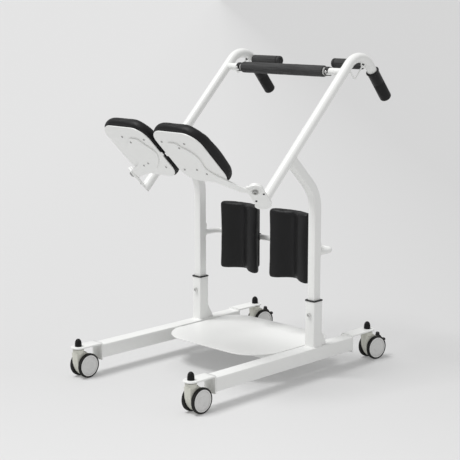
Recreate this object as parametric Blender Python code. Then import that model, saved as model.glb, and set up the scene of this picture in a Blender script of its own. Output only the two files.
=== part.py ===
"""Stand-up transfer chair: a wheeled frame that a person stands up into.

Metres, +Z up, +X forward from the entry side to the hand grips, +Y to the user's left.
The origin lies on the floor under the middle of the chair's bounding box. Every sub-part is
one object, parented to an empty that sits on the joint its body turns or slides about.
"""

import math

import bmesh
import bpy
from mathutils import Matrix, Vector

# Clearances
GAP = 0.0003
RUN = 0.0006

# Wheels and casters
WHEEL_D = 0.080
WHEEL_W = 0.012
TYRE_T = 0.0075
BORE_D = 0.0086
CASTER_WEB = 0.029
CASTER_TRAIL = 0.0242
CASTER_YAW = {"entry": 0.0, "front": math.radians(-10)}
HEAD_D = 0.036
HEAD_BASE_Z = WHEEL_D + 0.0022
PLATE_TOP_Z = HEAD_BASE_Z + 0.0223
PLATE_T = 0.005
SWIVEL_RING_H = 0.003
SWIVEL_GAP = 0.001
STEM_D = 0.012
STEM_DEPTH = 0.009
ENTRY_X = -0.4460
FRONT_X = 0.3795
HALF_TRACK = 0.261
BUMPER_D = 0.0225
BUMPER_H = 0.0250

# Legs, footplate and cross tubes
LEG_W = 0.048
LEG_TOP_Z = PLATE_TOP_Z - 0.0049
LEG_BOTTOM_Z = LEG_TOP_Z - 0.0458
LEG_ENTRY_X = -0.364
LEG_FRONT_X = 0.27
LEG_CORNER = 0.004
END_PLATE_T = 0.005
END_PLATE_DROP = 0.006
FOOT_TOP_Z = LEG_TOP_Z - 0.0021
FOOT_T = 0.004
FOOT_ENTRY_X = -0.1365
FOOT_FRONT_X = 0.2525
FOOT_SIDE_GAP = 0.008
FOOT_ENTRY_R = 0.115
FOOT_FRONT_R = 0.075
FOOT_ROLL = 0.0012
CROSS_W = 0.030
CROSS_H = 0.026
CROSS_X = {"entry": -0.0275, "front": 0.1925}

# Telescoping uprights
UPRIGHT_X = 0.1015
MAST = 0.030
SLEEVE_WALL = 0.003
SLEEVE_PLAY = 0.002
SLEEVE = MAST + 2 * (SLEEVE_WALL + SLEEVE_PLAY)
SLEEVE_TOP_Z = 0.249
GUSSET_L = 0.027
GUSSET_H = 0.050
GUSSET_W = 0.030
COLLAR_H = 0.012
COLLAR_OUT = 0.0015
BUSH_DEPTH = 0.022
MAST_CORNER_Z = 0.597
MAST_BEND_R = 0.120
LOCK_Z = 0.205
LOCK_D = 0.008
LOCK_HEAD_D = 0.014
LOCK_HEAD_H = 0.006

# Handle tubes: 45 degrees up to a hook that turns down to the hand grip
TUBE_D = 0.032
TUBE_RISE = 0.7380
HOOK_R = 0.072
HOOK_DOWN = math.radians(50)
GRIP_LINE = (0.4075, TUBE_RISE + 0.199)
GRIP_TOP_X = 0.3765
GRIP_L = 0.129
GRIP_D = 0.039
GRIP_LIP_D = 0.044
GRIP_LIP_L = 0.005
GRIP_CAP = 0.006

# Crossbar and inboard grips
BAR_Z = TUBE_RISE + 0.2344
BAR_HALF = 0.1856
BAR_FOAM_D = 0.037
BAR_TUBE_D = 0.024
STUB_SINK = 0.005
CLIP_L = 0.018
CLIP_WALL = 0.0022
BUTTON_D = 0.009
BUTTON_OUT = 0.003
SIDE_GRIP_X = 0.353
SIDE_GRIP_Z = TUBE_RISE + 0.2555
SIDE_GRIP_D = 0.033
SIDE_GRIP_IN = 0.119
SIDE_GRIP_OUT = 0.238
SIDE_TUBE_D = 0.025
STRAP_HOOK_D = 0.005
STRAP_HOOK = ((0.2587, TUBE_RISE + 0.2432), (0.2895, TUBE_RISE + 0.2090), (0.3365, TUBE_RISE + 0.2605))

# Knee bar and knee pads
KNEE_Z = 0.403
KNEE_ROD_D = 0.018
KNEE_BEND_R = 0.030
KNEE_PLATE_W = 0.026
KNEE_PLATE_LOW = 0.392
KNEE_PLATE_HIGH = 0.438
KNEE_PLATE_T = 0.004
KNEE_PAD_IN = 0.026
KNEE_PAD_W = 0.177
KNEE_PAD_LOW = 0.284
KNEE_PAD_HIGH = 0.520
KNEE_BACK_X = 0.180
KNEE_SIDE_X = 0.163
KNEE_FRONT_X = 0.132
KNEE_CHANNEL_X = 0.1665
KNEE_PAD_R = 0.014
KNEE_PAD_PULL = 0.0025
KNEE_PAD_CROWN = 0.002
KNEE_STATIONS = (0, 0.02, 0.06, 0.11, 0.18, 0.26, 0.34, 0.42, 0.49, 0.56, 0.64, 0.72, 0.80, 0.88,
                 0.94, 0.98, 1)
KNEE_SHELL_T = 0.004
KNEE_SHELL_W = 0.120
KNEE_SADDLE_Y = 0.040

# Seat halves: the panels lie square to the handle tubes
SEAT_X = -0.3042
SEAT_Z = TUBE_RISE - 0.0043
PANEL_T = 0.005
PANEL_HALF_S = 0.1175
PANEL_IN = 0.0125
PANEL_OUT = 0.2135
PANEL_R = 0.055
PAD_EDGE_T = 0.033
PAD_CROWN = 0.009
PAD_EDGE_R = 0.018
PAD_OVER = 0.005
PAD_PULL = 0.004
ARM_T = 0.0045
ARM_OUTLINE = (
    (-0.068, 0.068), (-0.068, 0.104), (-0.051, 0.120), (-0.035, 0.142), (-0.018, 0.154),
    (0.004, 0.158), (0.024, 0.154), (0.041, 0.151), (0.054, 0.158), (0.072, 0.178),
    (0.088, HALF_TRACK - 0.055), (0.120, HALF_TRACK + 0.004), (0.152, HALF_TRACK + 0.004),
    (0.132, HALF_TRACK - 0.049), (0.104, 0.141),
    (0.076, 0.090), (0.030, 0.046), (-0.007, 0.026), (-0.029, 0.040), (-0.049, 0.057),
)
ARM_NECK = ((0.0001, -0.0375), (0.0165, -0.0165), (0.003, -0.004), (0.0017, -0.0160))

# Hub that carries each seat half at the foot of its handle tube
HUB_X = -0.1864
HUB_Z = TUBE_RISE - 0.0971
HUB_OUT = 0.0125
HUB_TILT = math.radians(28.7)
HUB_PLATE_T = 0.007
HUB_R = 0.025
HUB_END_AT = (0.059, -0.0035)
HUB_END_R = 0.0245
HUB_BOSS_R = 0.018
HUB_BOSS_H = 0.002
DISC_R = 0.0235
DISC_H = 0.0060
HUB_RUN = 0.0008
BOLT_D = 0.010
BOLT_HEAD_D = 0.020
BOLT_HEAD_H = 0.0055
NUT_AF = 0.016
NUT_H = 0.007
EAR_AT = (0.026, math.radians(217))
EAR_R = 0.005

# Front caster brake pedals
PEDAL_PIVOT = (WHEEL_D / 2 - 0.006, math.radians(57))
PEDAL_ARC_R = WHEEL_D / 2 + 0.004
PEDAL_ARC_T = 0.0030
PEDAL_FROM = math.radians(22)
PEDAL_TO = math.radians(86)
PEDAL_HALF_W = 0.0235
PEDAL_WEB = 0.008
PEDAL_TAB_D = 0.009
PEDAL_PIN_D = 0.005

# Derived sizes
UP = Vector((0, 0, 1))
ACROSS = Vector((0, 1, 0))
PANEL_NORMAL = Vector((1, 0, 1)).normalized()
PANEL_SLOPE = Vector((1, 0, -1)).normalized()
WHEEL_R = WHEEL_D / 2
PLATE_UNDER_Z = PLATE_TOP_Z - PLATE_T
HEAD_TOP_Z = PLATE_UNDER_Z - SWIVEL_RING_H - SWIVEL_GAP
BAR_X = BAR_Z - TUBE_RISE
TIP_R = LEG_W / 2
HUB_Y = HALF_TRACK + HUB_OUT
SIDES = {"left": 1, "right": -1}
WHEEL_PAIR = {"outer": 1, "inner": -1}


def clear_scene():
    for item in list(bpy.data.objects):
        bpy.data.objects.remove(item, do_unlink=True)


def finish(name, colour, roughness, metallic=0.0):
    """A Principled material with the finish that the part has."""
    mat = bpy.data.materials.new(name)
    mat.use_nodes = True
    shader = mat.node_tree.nodes["Principled BSDF"]
    shader.inputs["Base Color"].default_value = (*colour, 1.0)
    shader.inputs["Roughness"].default_value = roughness
    shader.inputs["Metallic"].default_value = metallic
    mat.diffuse_color = (*colour, 1.0)
    return mat


BODIES = {}


def body(name, at, parent=None, turn=None):
    """An empty on a body's joint axis, which carries that body's pieces."""
    at = turn @ Vector(at) if turn else Vector(at)
    empty = bpy.data.objects.new(name, None)
    bpy.context.collection.objects.link(empty)
    empty.location = at - BODIES[parent][1] if parent else at
    if parent:
        empty.parent = BODIES[parent][0]
    BODIES[name] = (empty, at, turn)


def piece(name, mesh_or_bm, mat, on, smooth=35):
    """Links one closed shape, given in world coordinates, as a sub-part of a body."""
    mesh = mesh_or_bm
    if isinstance(mesh_or_bm, bmesh.types.BMesh):
        mesh = as_mesh(mesh_or_bm)
    empty, at, turn = BODIES[on]
    mesh.name = name
    if turn:
        mesh.transform(turn)
    mesh.transform(Matrix.Translation(-at))
    mesh.materials.clear()
    mesh.materials.append(mat)
    mesh.shade_smooth()
    mesh.set_sharp_from_angle(angle=math.radians(smooth))
    item = bpy.data.objects.new(name, mesh)
    bpy.context.collection.objects.link(item)
    item.parent = empty
    return item


def as_mesh(bm):
    bmesh.ops.recalc_face_normals(bm, faces=bm.faces[:])
    mesh = bpy.data.meshes.new("shape")
    bm.to_mesh(mesh)
    bm.free()
    return mesh


def combine(first, second, operation):
    """Joins or cuts two closed shapes with an exact Boolean and returns the mesh."""
    pair = []
    for shape in (first, second):
        mesh = as_mesh(shape) if isinstance(shape, bmesh.types.BMesh) else shape
        item = bpy.data.objects.new("shape", mesh)
        bpy.context.collection.objects.link(item)
        pair.append(item)
    target, tool = pair
    step = target.modifiers.new("step", "BOOLEAN")
    step.operation = operation
    step.solver = "EXACT"
    step.object = tool
    bpy.context.view_layer.update()
    seen = target.evaluated_get(bpy.context.evaluated_depsgraph_get())
    result = bpy.data.meshes.new_from_object(seen)
    for item in pair:
        bpy.data.objects.remove(item, do_unlink=True)
    return result


def union(*shapes):
    result = shapes[0]
    for shape in shapes[1:]:
        result = combine(result, shape, "UNION")
    return result


def cut(shape, *tools):
    for tool in tools:
        shape = combine(shape, tool, "DIFFERENCE")
    return shape


def loft(rings, wrap=False):
    """Skins a row of rings of equal count; ends are capped unless the row wraps round."""
    bm = bmesh.new()
    rows = [[bm.verts.new(point) for point in ring] for ring in rings]
    count = len(rows[0])
    pairs = list(zip(rows, rows[1:] + rows[:1])) if wrap else list(zip(rows, rows[1:]))
    for low, high in pairs:
        for i in range(count):
            j = (i + 1) % count
            bm.faces.new((low[i], low[j], high[j], high[i]))
    if not wrap:
        bm.faces.new(rows[0][::-1])
        bm.faces.new(rows[-1])
    return bm


def rounded_rect(half_a, half_b, radius, steps=4):
    """Outline of a rectangle with round corners, anticlockwise from the +a side."""
    corners = ((1, 1), (-1, 1), (-1, -1), (1, -1))
    points = []
    for k, (sa, sb) in enumerate(corners):
        for i in range(steps + 1):
            turn = math.pi / 2 * (k + i / steps)
            points.append((sa * (half_a - radius) + radius * math.cos(turn),
                           sb * (half_b - radius) + radius * math.sin(turn)))
    return points


def arc(centre, radius, start, end, steps):
    """Points on an arc in a plane, from one angle to the other."""
    angles = (start + (end - start) * i / steps for i in range(steps + 1))
    return [(centre[0] + radius * math.cos(a), centre[1] + radius * math.sin(a)) for a in angles]


def ring(centre, axis_a, axis_b, outline):
    return [centre + axis_a * a + axis_b * b for a, b in outline]


def circle(radius, count):
    """A circle whose flats, not corners, touch the radius along both axes."""
    outer = radius / math.cos(math.pi / count)
    turns = ((i + 0.5) * 2 * math.pi / count for i in range(count))
    return [(outer * math.cos(t), outer * math.sin(t)) for t in turns]


def prism(outline, centre, axis_a, axis_b, low, high):
    """An outline in the plane of two axes, extruded along their normal."""
    normal = axis_a.cross(axis_b)
    return loft([ring(centre + normal * d, axis_a, axis_b, outline) for d in (low, high)])


def lathe(profile, centre, axis, count, wrap=False):
    """Turns (radius, height) points about an axis; a zero radius ends the turning."""
    side = axis.orthogonal().normalized()
    if abs(axis.y) > 0.9:
        side = Vector((1, 0, 0))
    other = axis.cross(side)
    rows = [ring(centre + axis * h, side, other, circle(max(r, 1e-6), count)) for r, h in profile]
    bm = loft(rows, wrap)
    if not wrap:
        bmesh.ops.remove_doubles(bm, verts=bm.verts[:], dist=1e-5)
    return bm


def rod(start, end, diameter, count=16):
    """A straight round rod between two points."""
    run = Vector(end) - Vector(start)
    return lathe([(diameter / 2, 0), (diameter / 2, run.length)], Vector(start), run.normalized(), count)


def bent_path(corners, radii, steps):
    """Straight runs between corners, each inner corner turned by a tangent arc."""
    points = [Vector(corners[0])]
    for before, corner, after, radius in zip(corners, corners[1:], corners[2:], radii):
        corner = Vector(corner)
        come = (corner - Vector(before)).normalized()
        go = (Vector(after) - corner).normalized()
        turn = come.angle(go)
        inward = (go - come).normalized()
        centre = corner + inward * radius / math.cos(turn / 2)
        start = corner - come * radius * math.tan(turn / 2)
        spin_axis = come.cross(go).normalized()
        arm = start - centre
        for i in range(steps + 1):
            points.append(centre + Matrix.Rotation(turn * i / steps, 3, spin_axis) @ arm)
    points.append(Vector(corners[-1]))
    return points


def sweep(path, outline, flat_normal):
    """Carries an outline along a flat path, mitred at each point."""
    rows = []
    for i, point in enumerate(path):
        before = path[i] - path[i - 1] if i else path[1] - path[0]
        after = path[i + 1] - path[i] if i + 1 < len(path) else path[-1] - path[-2]
        along = (before.normalized() + after.normalized()).normalized()
        stretch = 1 / max(0.5, along.dot(after.normalized()))
        inward = flat_normal.cross(along)
        rows.append(ring(point, inward * stretch, flat_normal, outline))
    return loft(rows)


def caster_turn(end, at):
    """How a caster stands: turned a little about its own swivel axis."""
    return Matrix.Translation(at) @ Matrix.Rotation(CASTER_YAW[end], 4, "Z") @ Matrix.Translation(-at)


def caster_names():
    for end, x in (("entry", ENTRY_X), ("front", FRONT_X)):
        for side, sign in SIDES.items():
            yield f"{end}_{side}", end, Vector((x, sign * HALF_TRACK, 0))


def make_bodies():
    body("base", (0, 0, 0))
    for place, end, at in caster_names():
        axle = at + Vector((CASTER_TRAIL, 0, WHEEL_R))
        turn = caster_turn(end, at)
        body(f"caster_{place}", at + UP * HEAD_TOP_Z, "base", turn)
        for which, way in WHEEL_PAIR.items():
            offset = ACROSS * math.copysign(1, way * at.y) * (CASTER_WEB + WHEEL_W) / 2
            body(f"roll_{place}_{which}", axle + offset, f"caster_{place}", turn)
        if end == "front":
            radius, lean = PEDAL_PIVOT
            pivot = axle + Vector((radius * math.cos(lean), 0, radius * math.sin(lean)))
            body(f"pedal_{place[6:]}", pivot, f"caster_{place}", turn)
    body("upper_frame", (UPRIGHT_X, 0, LEG_TOP_Z), "base")
    for side, sign in SIDES.items():
        body(f"seat_{side}", hub_frame(sign)[0], "upper_frame")
        body(f"button_{side}", button_seat(sign), "upper_frame")


def leg(side, sign):
    """A box tube with rounded long edges."""
    y = sign * HALF_TRACK
    mid_z = (LEG_BOTTOM_Z + LEG_TOP_Z) / 2
    section = rounded_rect(LEG_W / 2, (LEG_TOP_Z - LEG_BOTTOM_Z) / 2, LEG_CORNER, 3)
    ends = [Vector((x, y, mid_z)) for x in (LEG_ENTRY_X, LEG_FRONT_X)]
    piece(f"leg_{side}", loft([ring(p, ACROSS, UP, section) for p in ends]), WHITE, "base")


def caster_bracket(place, end, at):
    """An end plate welded over the leg, with a tongue that carries the caster's stem."""
    face_x, away = {"entry": (LEG_ENTRY_X, -1), "front": (LEG_FRONT_X, 1)}[end]
    face = Vector((face_x + away * GAP, at.y, 0))
    half_h = (PLATE_TOP_Z - LEG_BOTTOM_Z + END_PLATE_DROP) / 2
    outline = rounded_rect(LEG_W / 2 + 0.0005, half_h, 0.003, 2)
    middle = face + UP * (PLATE_TOP_Z - half_h)
    plate = loft([ring(middle + Vector((away * d, 0, 0)), ACROSS, UP, outline) for d in (0, END_PLATE_T)])
    reach = abs(at.x - face.x)
    tongue = [(0.001, -TIP_R), (reach, -TIP_R)]
    tongue += arc((reach, 0), TIP_R, -math.pi / 2, math.pi / 2, 12)[1:-1]
    tongue += [(reach, TIP_R), (0.001, TIP_R)]
    shelf = prism(tongue, face + UP * PLATE_UNDER_Z, Vector((away, 0, 0)), ACROSS * away, 0, PLATE_T)
    foot = -SWIVEL_RING_H - SWIVEL_GAP - STEM_DEPTH
    profile = [(0, foot), (STEM_D / 2, foot), (STEM_D / 2, -SWIVEL_RING_H),
               (HEAD_D / 2, -SWIVEL_RING_H), (HEAD_D / 2, 0.001), (0, 0.001)]
    stem = lathe(profile, at + UP * PLATE_UNDER_Z, UP, 20)
    piece(f"caster_bracket_{place}", union(plate, shelf, stem), WHITE, "base")


def bumper(place, at):
    """A domed rubber buffer that stands on the caster tongue."""
    radius = BUMPER_D / 2
    base = Vector((at.x, at.y, PLATE_TOP_Z + GAP))
    profile = [(0, 0), (radius - 0.001, 0), (radius, 0.0012), (radius * 0.97, BUMPER_H * 0.35)]
    profile += [(radius * 0.94 * math.cos(t), BUMPER_H * (0.42 + 0.58 * math.sin(t)))
                for t in (math.radians(d) for d in (8, 28, 48, 68))]
    profile.append((0, BUMPER_H))
    piece(f"bumper_{place}", lathe(profile, base, UP, 16), RUBBER, "base")


def housing(place, end, at):
    """Caster body: a round head over a web that fills the space between the two wheels."""
    axle = Vector((at.x + CASTER_TRAIL, at.y, WHEEL_R))
    web_r = WHEEL_R - 0.003
    half = CASTER_WEB / 2 - RUN
    front_a = (-CASTER_TRAIL - HEAD_D / 2 + 0.001, HEAD_BASE_Z + 0.003 - WHEEL_R)
    front_b = (-CASTER_TRAIL + HEAD_D / 2 - 0.001, HEAD_BASE_Z + 0.003 - WHEEL_R)
    outline = [front_b, front_a]
    outline += arc((0, 0), web_r, math.pi, math.radians(229), 4)
    outline += arc((0, 0), web_r, math.radians(311), math.radians(420), 8)
    web = prism(outline, axle, Vector((1, 0, 0)), UP, -half, half)
    head_h = HEAD_TOP_Z - HEAD_BASE_Z
    head = lathe([(0, 0), (HEAD_D / 2 - 0.002, 0), (HEAD_D / 2, 0.002), (HEAD_D / 2, head_h),
                  (0, head_h)],
                 Vector((at.x, at.y, HEAD_BASE_Z)), UP, 20)
    reach = ACROSS * (CASTER_WEB / 2 + WHEEL_W - 0.004)
    shape = union(web, head, rod(axle - reach, axle + reach, BORE_D - 2 * GAP, 16))
    well = rod(Vector((at.x, at.y, HEAD_TOP_Z - STEM_DEPTH - GAP)),
               Vector((at.x, at.y, HEAD_TOP_Z + 0.01)), STEM_D + 2 * GAP, 20)
    shape = cut(shape, well)
    if end == "front":
        radius, turn = PEDAL_PIVOT
        pin_at = axle + Vector((radius * math.cos(turn), 0, radius * math.sin(turn)))
        slot_half = PEDAL_WEB / 2 + GAP
        away = Vector((math.cos(turn), 0, math.sin(turn)))
        along = Vector((-math.sin(turn), 0, math.cos(turn)))
        slot = prism([(-0.007, -0.0155), (0.02, -0.019), (0.02, 0.0115), (-0.007, 0.0095)],
                     pin_at, away, along, -slot_half, slot_half)
        pin = rod(pin_at - ACROSS * (slot_half + 0.002), pin_at + ACROSS * (slot_half + 0.002),
                  PEDAL_PIN_D, 12)
        shape = union(cut(shape, slot), pin)
    piece(f"housing_{place}", shape, CASTER_GREY, f"caster_{place}")


def wheel(place, at, which, way):
    """A disc wheel with a tyre, a dished outer face and a blind bore for the axle."""
    sign = math.copysign(1, way * at.y)
    inner = Vector((at.x + CASTER_TRAIL, at.y + sign * CASTER_WEB / 2, WHEEL_R))
    w = WHEEL_W
    r = WHEEL_R
    profile = [(0, w - 0.0035), (BORE_D / 2, w - 0.0035), (BORE_D / 2, 0), (r - 0.0015, 0),
               (r, 0.002), (r, w - 0.002), (r - 0.0025, w - 0.0005),
               (r - TYRE_T, w - 0.002), (0.012, w), (0, w)]
    piece(f"wheel_{place}_{which}", lathe(profile, inner, ACROSS * sign, 20), WHEEL_GREY,
          f"roll_{place}_{which}")


def brake_pedal(side, sign):
    """A rocking pedal: an arched pad over both wheels on a web that pivots in the housing."""
    axle = Vector((FRONT_X + CASTER_TRAIL, sign * HALF_TRACK, WHEEL_R))
    outer = PEDAL_ARC_R + PEDAL_ARC_T
    arch = arc((0, 0), PEDAL_ARC_R, PEDAL_TO, PEDAL_FROM, 8) + arc((0, 0), outer, PEDAL_FROM, PEDAL_TO, 8)
    pad = prism(arch, axle, Vector((1, 0, 0)), UP, -PEDAL_HALF_W, PEDAL_HALF_W)
    shapes = [pad]
    for turn in (PEDAL_FROM + 0.06, PEDAL_TO - 0.06):
        at = axle + Vector((math.cos(turn), 0, math.sin(turn))) * (outer + PEDAL_TAB_D * 0.2)
        shapes.append(rod(at - ACROSS * PEDAL_HALF_W * 0.98, at + ACROSS * PEDAL_HALF_W * 0.98,
                          PEDAL_TAB_D, 12))
    radius, turn = PEDAL_PIVOT
    eye = (radius * math.cos(turn), radius * math.sin(turn))
    eye_r = PEDAL_PIN_D / 2 + 0.0022
    web = arc(eye, eye_r, turn + math.radians(100), turn + math.radians(260), 6)
    web += [((PEDAL_ARC_R + 0.001) * math.cos(a), (PEDAL_ARC_R + 0.001) * math.sin(a))
            for a in (turn - 0.24, turn - 0.08, turn + 0.08, turn + 0.15)]
    shapes.append(prism(web, axle, Vector((1, 0, 0)), UP, -PEDAL_WEB / 2, PEDAL_WEB / 2))
    pin_at = axle + Vector((eye[0], 0, eye[1]))
    hole = rod(pin_at - ACROSS * 0.01, pin_at + ACROSS * 0.01, PEDAL_PIN_D + 2 * GAP, 12)
    piece(f"brake_pedal_{side}", cut(union(*shapes), hole), RUBBER, f"pedal_{side}")


def footplate():
    """A flat plate with large round corners, bowed ends and a rolled edge."""
    half = HALF_TRACK - LEG_W / 2 - FOOT_SIDE_GAP
    bow = 0.005

    def outline(inset):
        side = half - inset
        back = FOOT_ENTRY_X + inset
        front = FOOT_FRONT_X - inset
        re, rf = FOOT_ENTRY_R - inset, FOOT_FRONT_R - inset
        points = arc((front - rf, side - rf), rf, 0, math.pi / 2, 7)
        points += arc((back + re, side - re), re, math.pi / 2, math.pi, 9)
        points += arc((back + re, -side + re), re, math.pi, math.pi * 1.5, 9)
        points += arc((front - rf, -side + rf), rf, math.pi * 1.5, math.pi * 2, 7)
        mid = (front + back) / 2
        return [(x + math.copysign(bow, mid - x) * (abs(y) / half) ** 2 * (abs(x - mid) > 0.1), y)
                for x, y in points]

    def level(inset, z):
        return [Vector((x, y, z)) for x, y in outline(inset)]

    top = FOOT_TOP_Z
    under = top - FOOT_T
    rows = [level(FOOT_ROLL, under), level(0, under + FOOT_ROLL), level(0, top - FOOT_ROLL),
            level(FOOT_ROLL, top)]
    piece("footplate", loft(rows), WHITE, "base")


def cross_tube(end, x):
    """A flat box tube that joins the legs under the footplate."""
    half = HALF_TRACK - LEG_W / 2 - GAP
    top = FOOT_TOP_Z - FOOT_T - GAP
    section = rounded_rect(CROSS_W / 2, CROSS_H / 2, 0.003, 2)
    mid = Vector((x, 0, top - CROSS_H / 2))
    rows = [ring(mid + ACROSS * y, UP.cross(ACROSS), UP, section) for y in (-half, half)]
    piece(f"cross_tube_{end}", loft(rows), WHITE, "base")


def sleeve(side, sign):
    """The lower half of an upright: an open box tube with a wedge gusset at its foot."""
    at = Vector((UPRIGHT_X, sign * HALF_TRACK, 0))
    outer = rounded_rect(SLEEVE / 2, SLEEVE / 2, 0.004, 2)
    inner = rounded_rect(SLEEVE / 2 - SLEEVE_WALL, SLEEVE / 2 - SLEEVE_WALL, 0.0015, 2)
    low = LEG_TOP_Z + GAP
    along = Vector((1, 0, 0))
    rows = [ring(at + UP * low, along, ACROSS, outer), ring(at + UP * SLEEVE_TOP_Z, along, ACROSS, outer),
            ring(at + UP * SLEEVE_TOP_Z, along, ACROSS, inner), ring(at + UP * low, along, ACROSS, inner)]
    face = SLEEVE / 2
    wedge = [(face - 0.001, 0), (face + GUSSET_L, 0), (face + GUSSET_L, 0.004),
             (face + 0.001, GUSSET_H), (face - 0.001, GUSSET_H)]
    gusset = prism(wedge, at + UP * low, along, UP, -GUSSET_W / 2, GUSSET_W / 2)
    hole = rod(at + Vector((-SLEEVE, 0, LOCK_Z)), at + Vector((0, 0, LOCK_Z)), LOCK_D + 2 * GAP, 16)
    piece(f"sleeve_{side}", cut(union(loft(rows, wrap=True), gusset), hole), WHITE, "base")


def collar(side, sign):
    """A moulded bush that guides the mast and caps the sleeve with a square flange."""
    at = Vector((UPRIGHT_X, sign * HALF_TRACK, SLEEVE_TOP_Z + GAP))
    along = Vector((1, 0, 0))
    flange = SLEEVE / 2 + COLLAR_OUT
    inside = MAST / 2 + GAP
    bush = SLEEVE / 2 - SLEEVE_WALL - GAP

    def level(half, radius, z):
        return ring(at + UP * z, along, ACROSS, rounded_rect(half, half, radius, 2))

    rows = [level(bush, 0.0015, -BUSH_DEPTH), level(bush, 0.0015, 0), level(flange, 0.005, 0),
            level(flange, 0.005, COLLAR_H - 0.002), level(flange - 0.002, 0.004, COLLAR_H),
            level(inside, 0.003, COLLAR_H), level(inside, 0.003, -BUSH_DEPTH)]
    piece(f"collar_{side}", loft(rows, wrap=True), RUBBER, "base")


def lock_screw(side, sign):
    """A clamp screw through the sleeve wall whose tip bears on the mast."""
    tip = Vector((UPRIGHT_X - MAST / 2 - GAP, sign * HALF_TRACK, LOCK_Z))
    shank = SLEEVE / 2 - MAST / 2
    head = LOCK_HEAD_D / 2
    profile = [(0, 0), (LOCK_D / 2, 0), (LOCK_D / 2, shank), (head, shank),
               (head, shank + LOCK_HEAD_H - 0.0015), (head - 0.0015, shank + LOCK_HEAD_H),
               (0.0035, shank + LOCK_HEAD_H), (0.0035, shank + LOCK_HEAD_H - 0.003),
               (0, shank + LOCK_HEAD_H - 0.003)]
    piece(f"lock_screw_{side}", lathe(profile, tip, Vector((-1, 0, 0)), 12), STEEL, "base")


def handle_point(z):
    """Centre line of the straight part of a handle tube, as (x, z)."""
    return (z - TUBE_RISE, z)


def mast(side, sign):
    """The sliding half of an upright, bent back to meet the handle tube square."""
    y = sign * HALF_TRACK
    line_sum = UPRIGHT_X + MAST_CORNER_Z
    top = ((line_sum - TUBE_RISE) / 2, (line_sum + TUBE_RISE) / 2)
    corners = [(UPRIGHT_X, y, LEG_TOP_Z + GAP), (UPRIGHT_X, y, MAST_CORNER_Z), (top[0], y, top[1])]
    path = bent_path(corners, [MAST_BEND_R], 8)
    bar = sweep(path, rounded_rect(MAST / 2, MAST / 2, 0.003, 2), ACROSS)
    low = handle_point(HUB_Z)
    high = handle_point(BAR_Z)
    saddle = rod((low[0], y, low[1]), (high[0], y, high[1]), TUBE_D + 2 * GAP, 24)
    piece(f"mast_{side}", cut(bar, saddle), WHITE, "upper_frame")


def hub_frame(sign):
    """Centre of a seat hub, with its long axis, its outward axis and its hinge axis."""
    centre = Vector((HUB_X, sign * HUB_Y, HUB_Z))
    outward = ACROSS * sign
    across = outward * math.cos(HUB_TILT) + PANEL_NORMAL * math.sin(HUB_TILT)
    hinge = PANEL_NORMAL * math.cos(HUB_TILT) - outward * math.sin(HUB_TILT)
    return centre, PANEL_SLOPE, across, hinge


def tube_foot(y):
    """The point of a handle tube's centre line that lies straight down the slope from its hub."""
    middle = (HUB_X + HUB_Z) / 2
    return Vector((middle - TUBE_RISE / 2, y, middle + TUBE_RISE / 2))


def hub_prism(sign, outline, low, high):
    """An outline on a hub's own axes, extruded from one level to another along its hinge."""
    centre, slope, across, hinge = hub_frame(sign)
    return loft([ring(centre + hinge * d, slope, across, outline) for d in (low, high)])


def hub_plate(sign):
    """Egg-shaped plate that closes the tube's foot, with a turned boss round the pivot."""
    reach, tilt = math.hypot(*HUB_END_AT), math.atan2(HUB_END_AT[1], HUB_END_AT[0])
    lean = math.asin((HUB_R - HUB_END_R) / reach)
    quarter = math.pi / 2
    egg = arc(HUB_END_AT, HUB_END_R, tilt - quarter + lean, tilt + quarter - lean, 10)
    egg += arc((0, 0), HUB_R, tilt + quarter - lean, tilt + 3 * quarter + lean, 16)
    plate = hub_prism(sign, egg, -HUB_PLATE_T, 0)
    boss = hub_prism(sign, circle(HUB_BOSS_R, 24), -HUB_PLATE_T - HUB_BOSS_H, -HUB_PLATE_T + 0.001)
    ear_r, ear_turn = EAR_AT
    ear = [(ear_r * math.cos(ear_turn) + u, ear_r * math.sin(ear_turn) + v)
           for u, v in circle(EAR_R, 12)]
    bore = hub_prism(sign, circle(BOLT_D / 2 + GAP, 20), -0.03, 0.03)
    return union(plate, boss, hub_prism(sign, ear, -HUB_PLATE_T, 0)), bore


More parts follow.
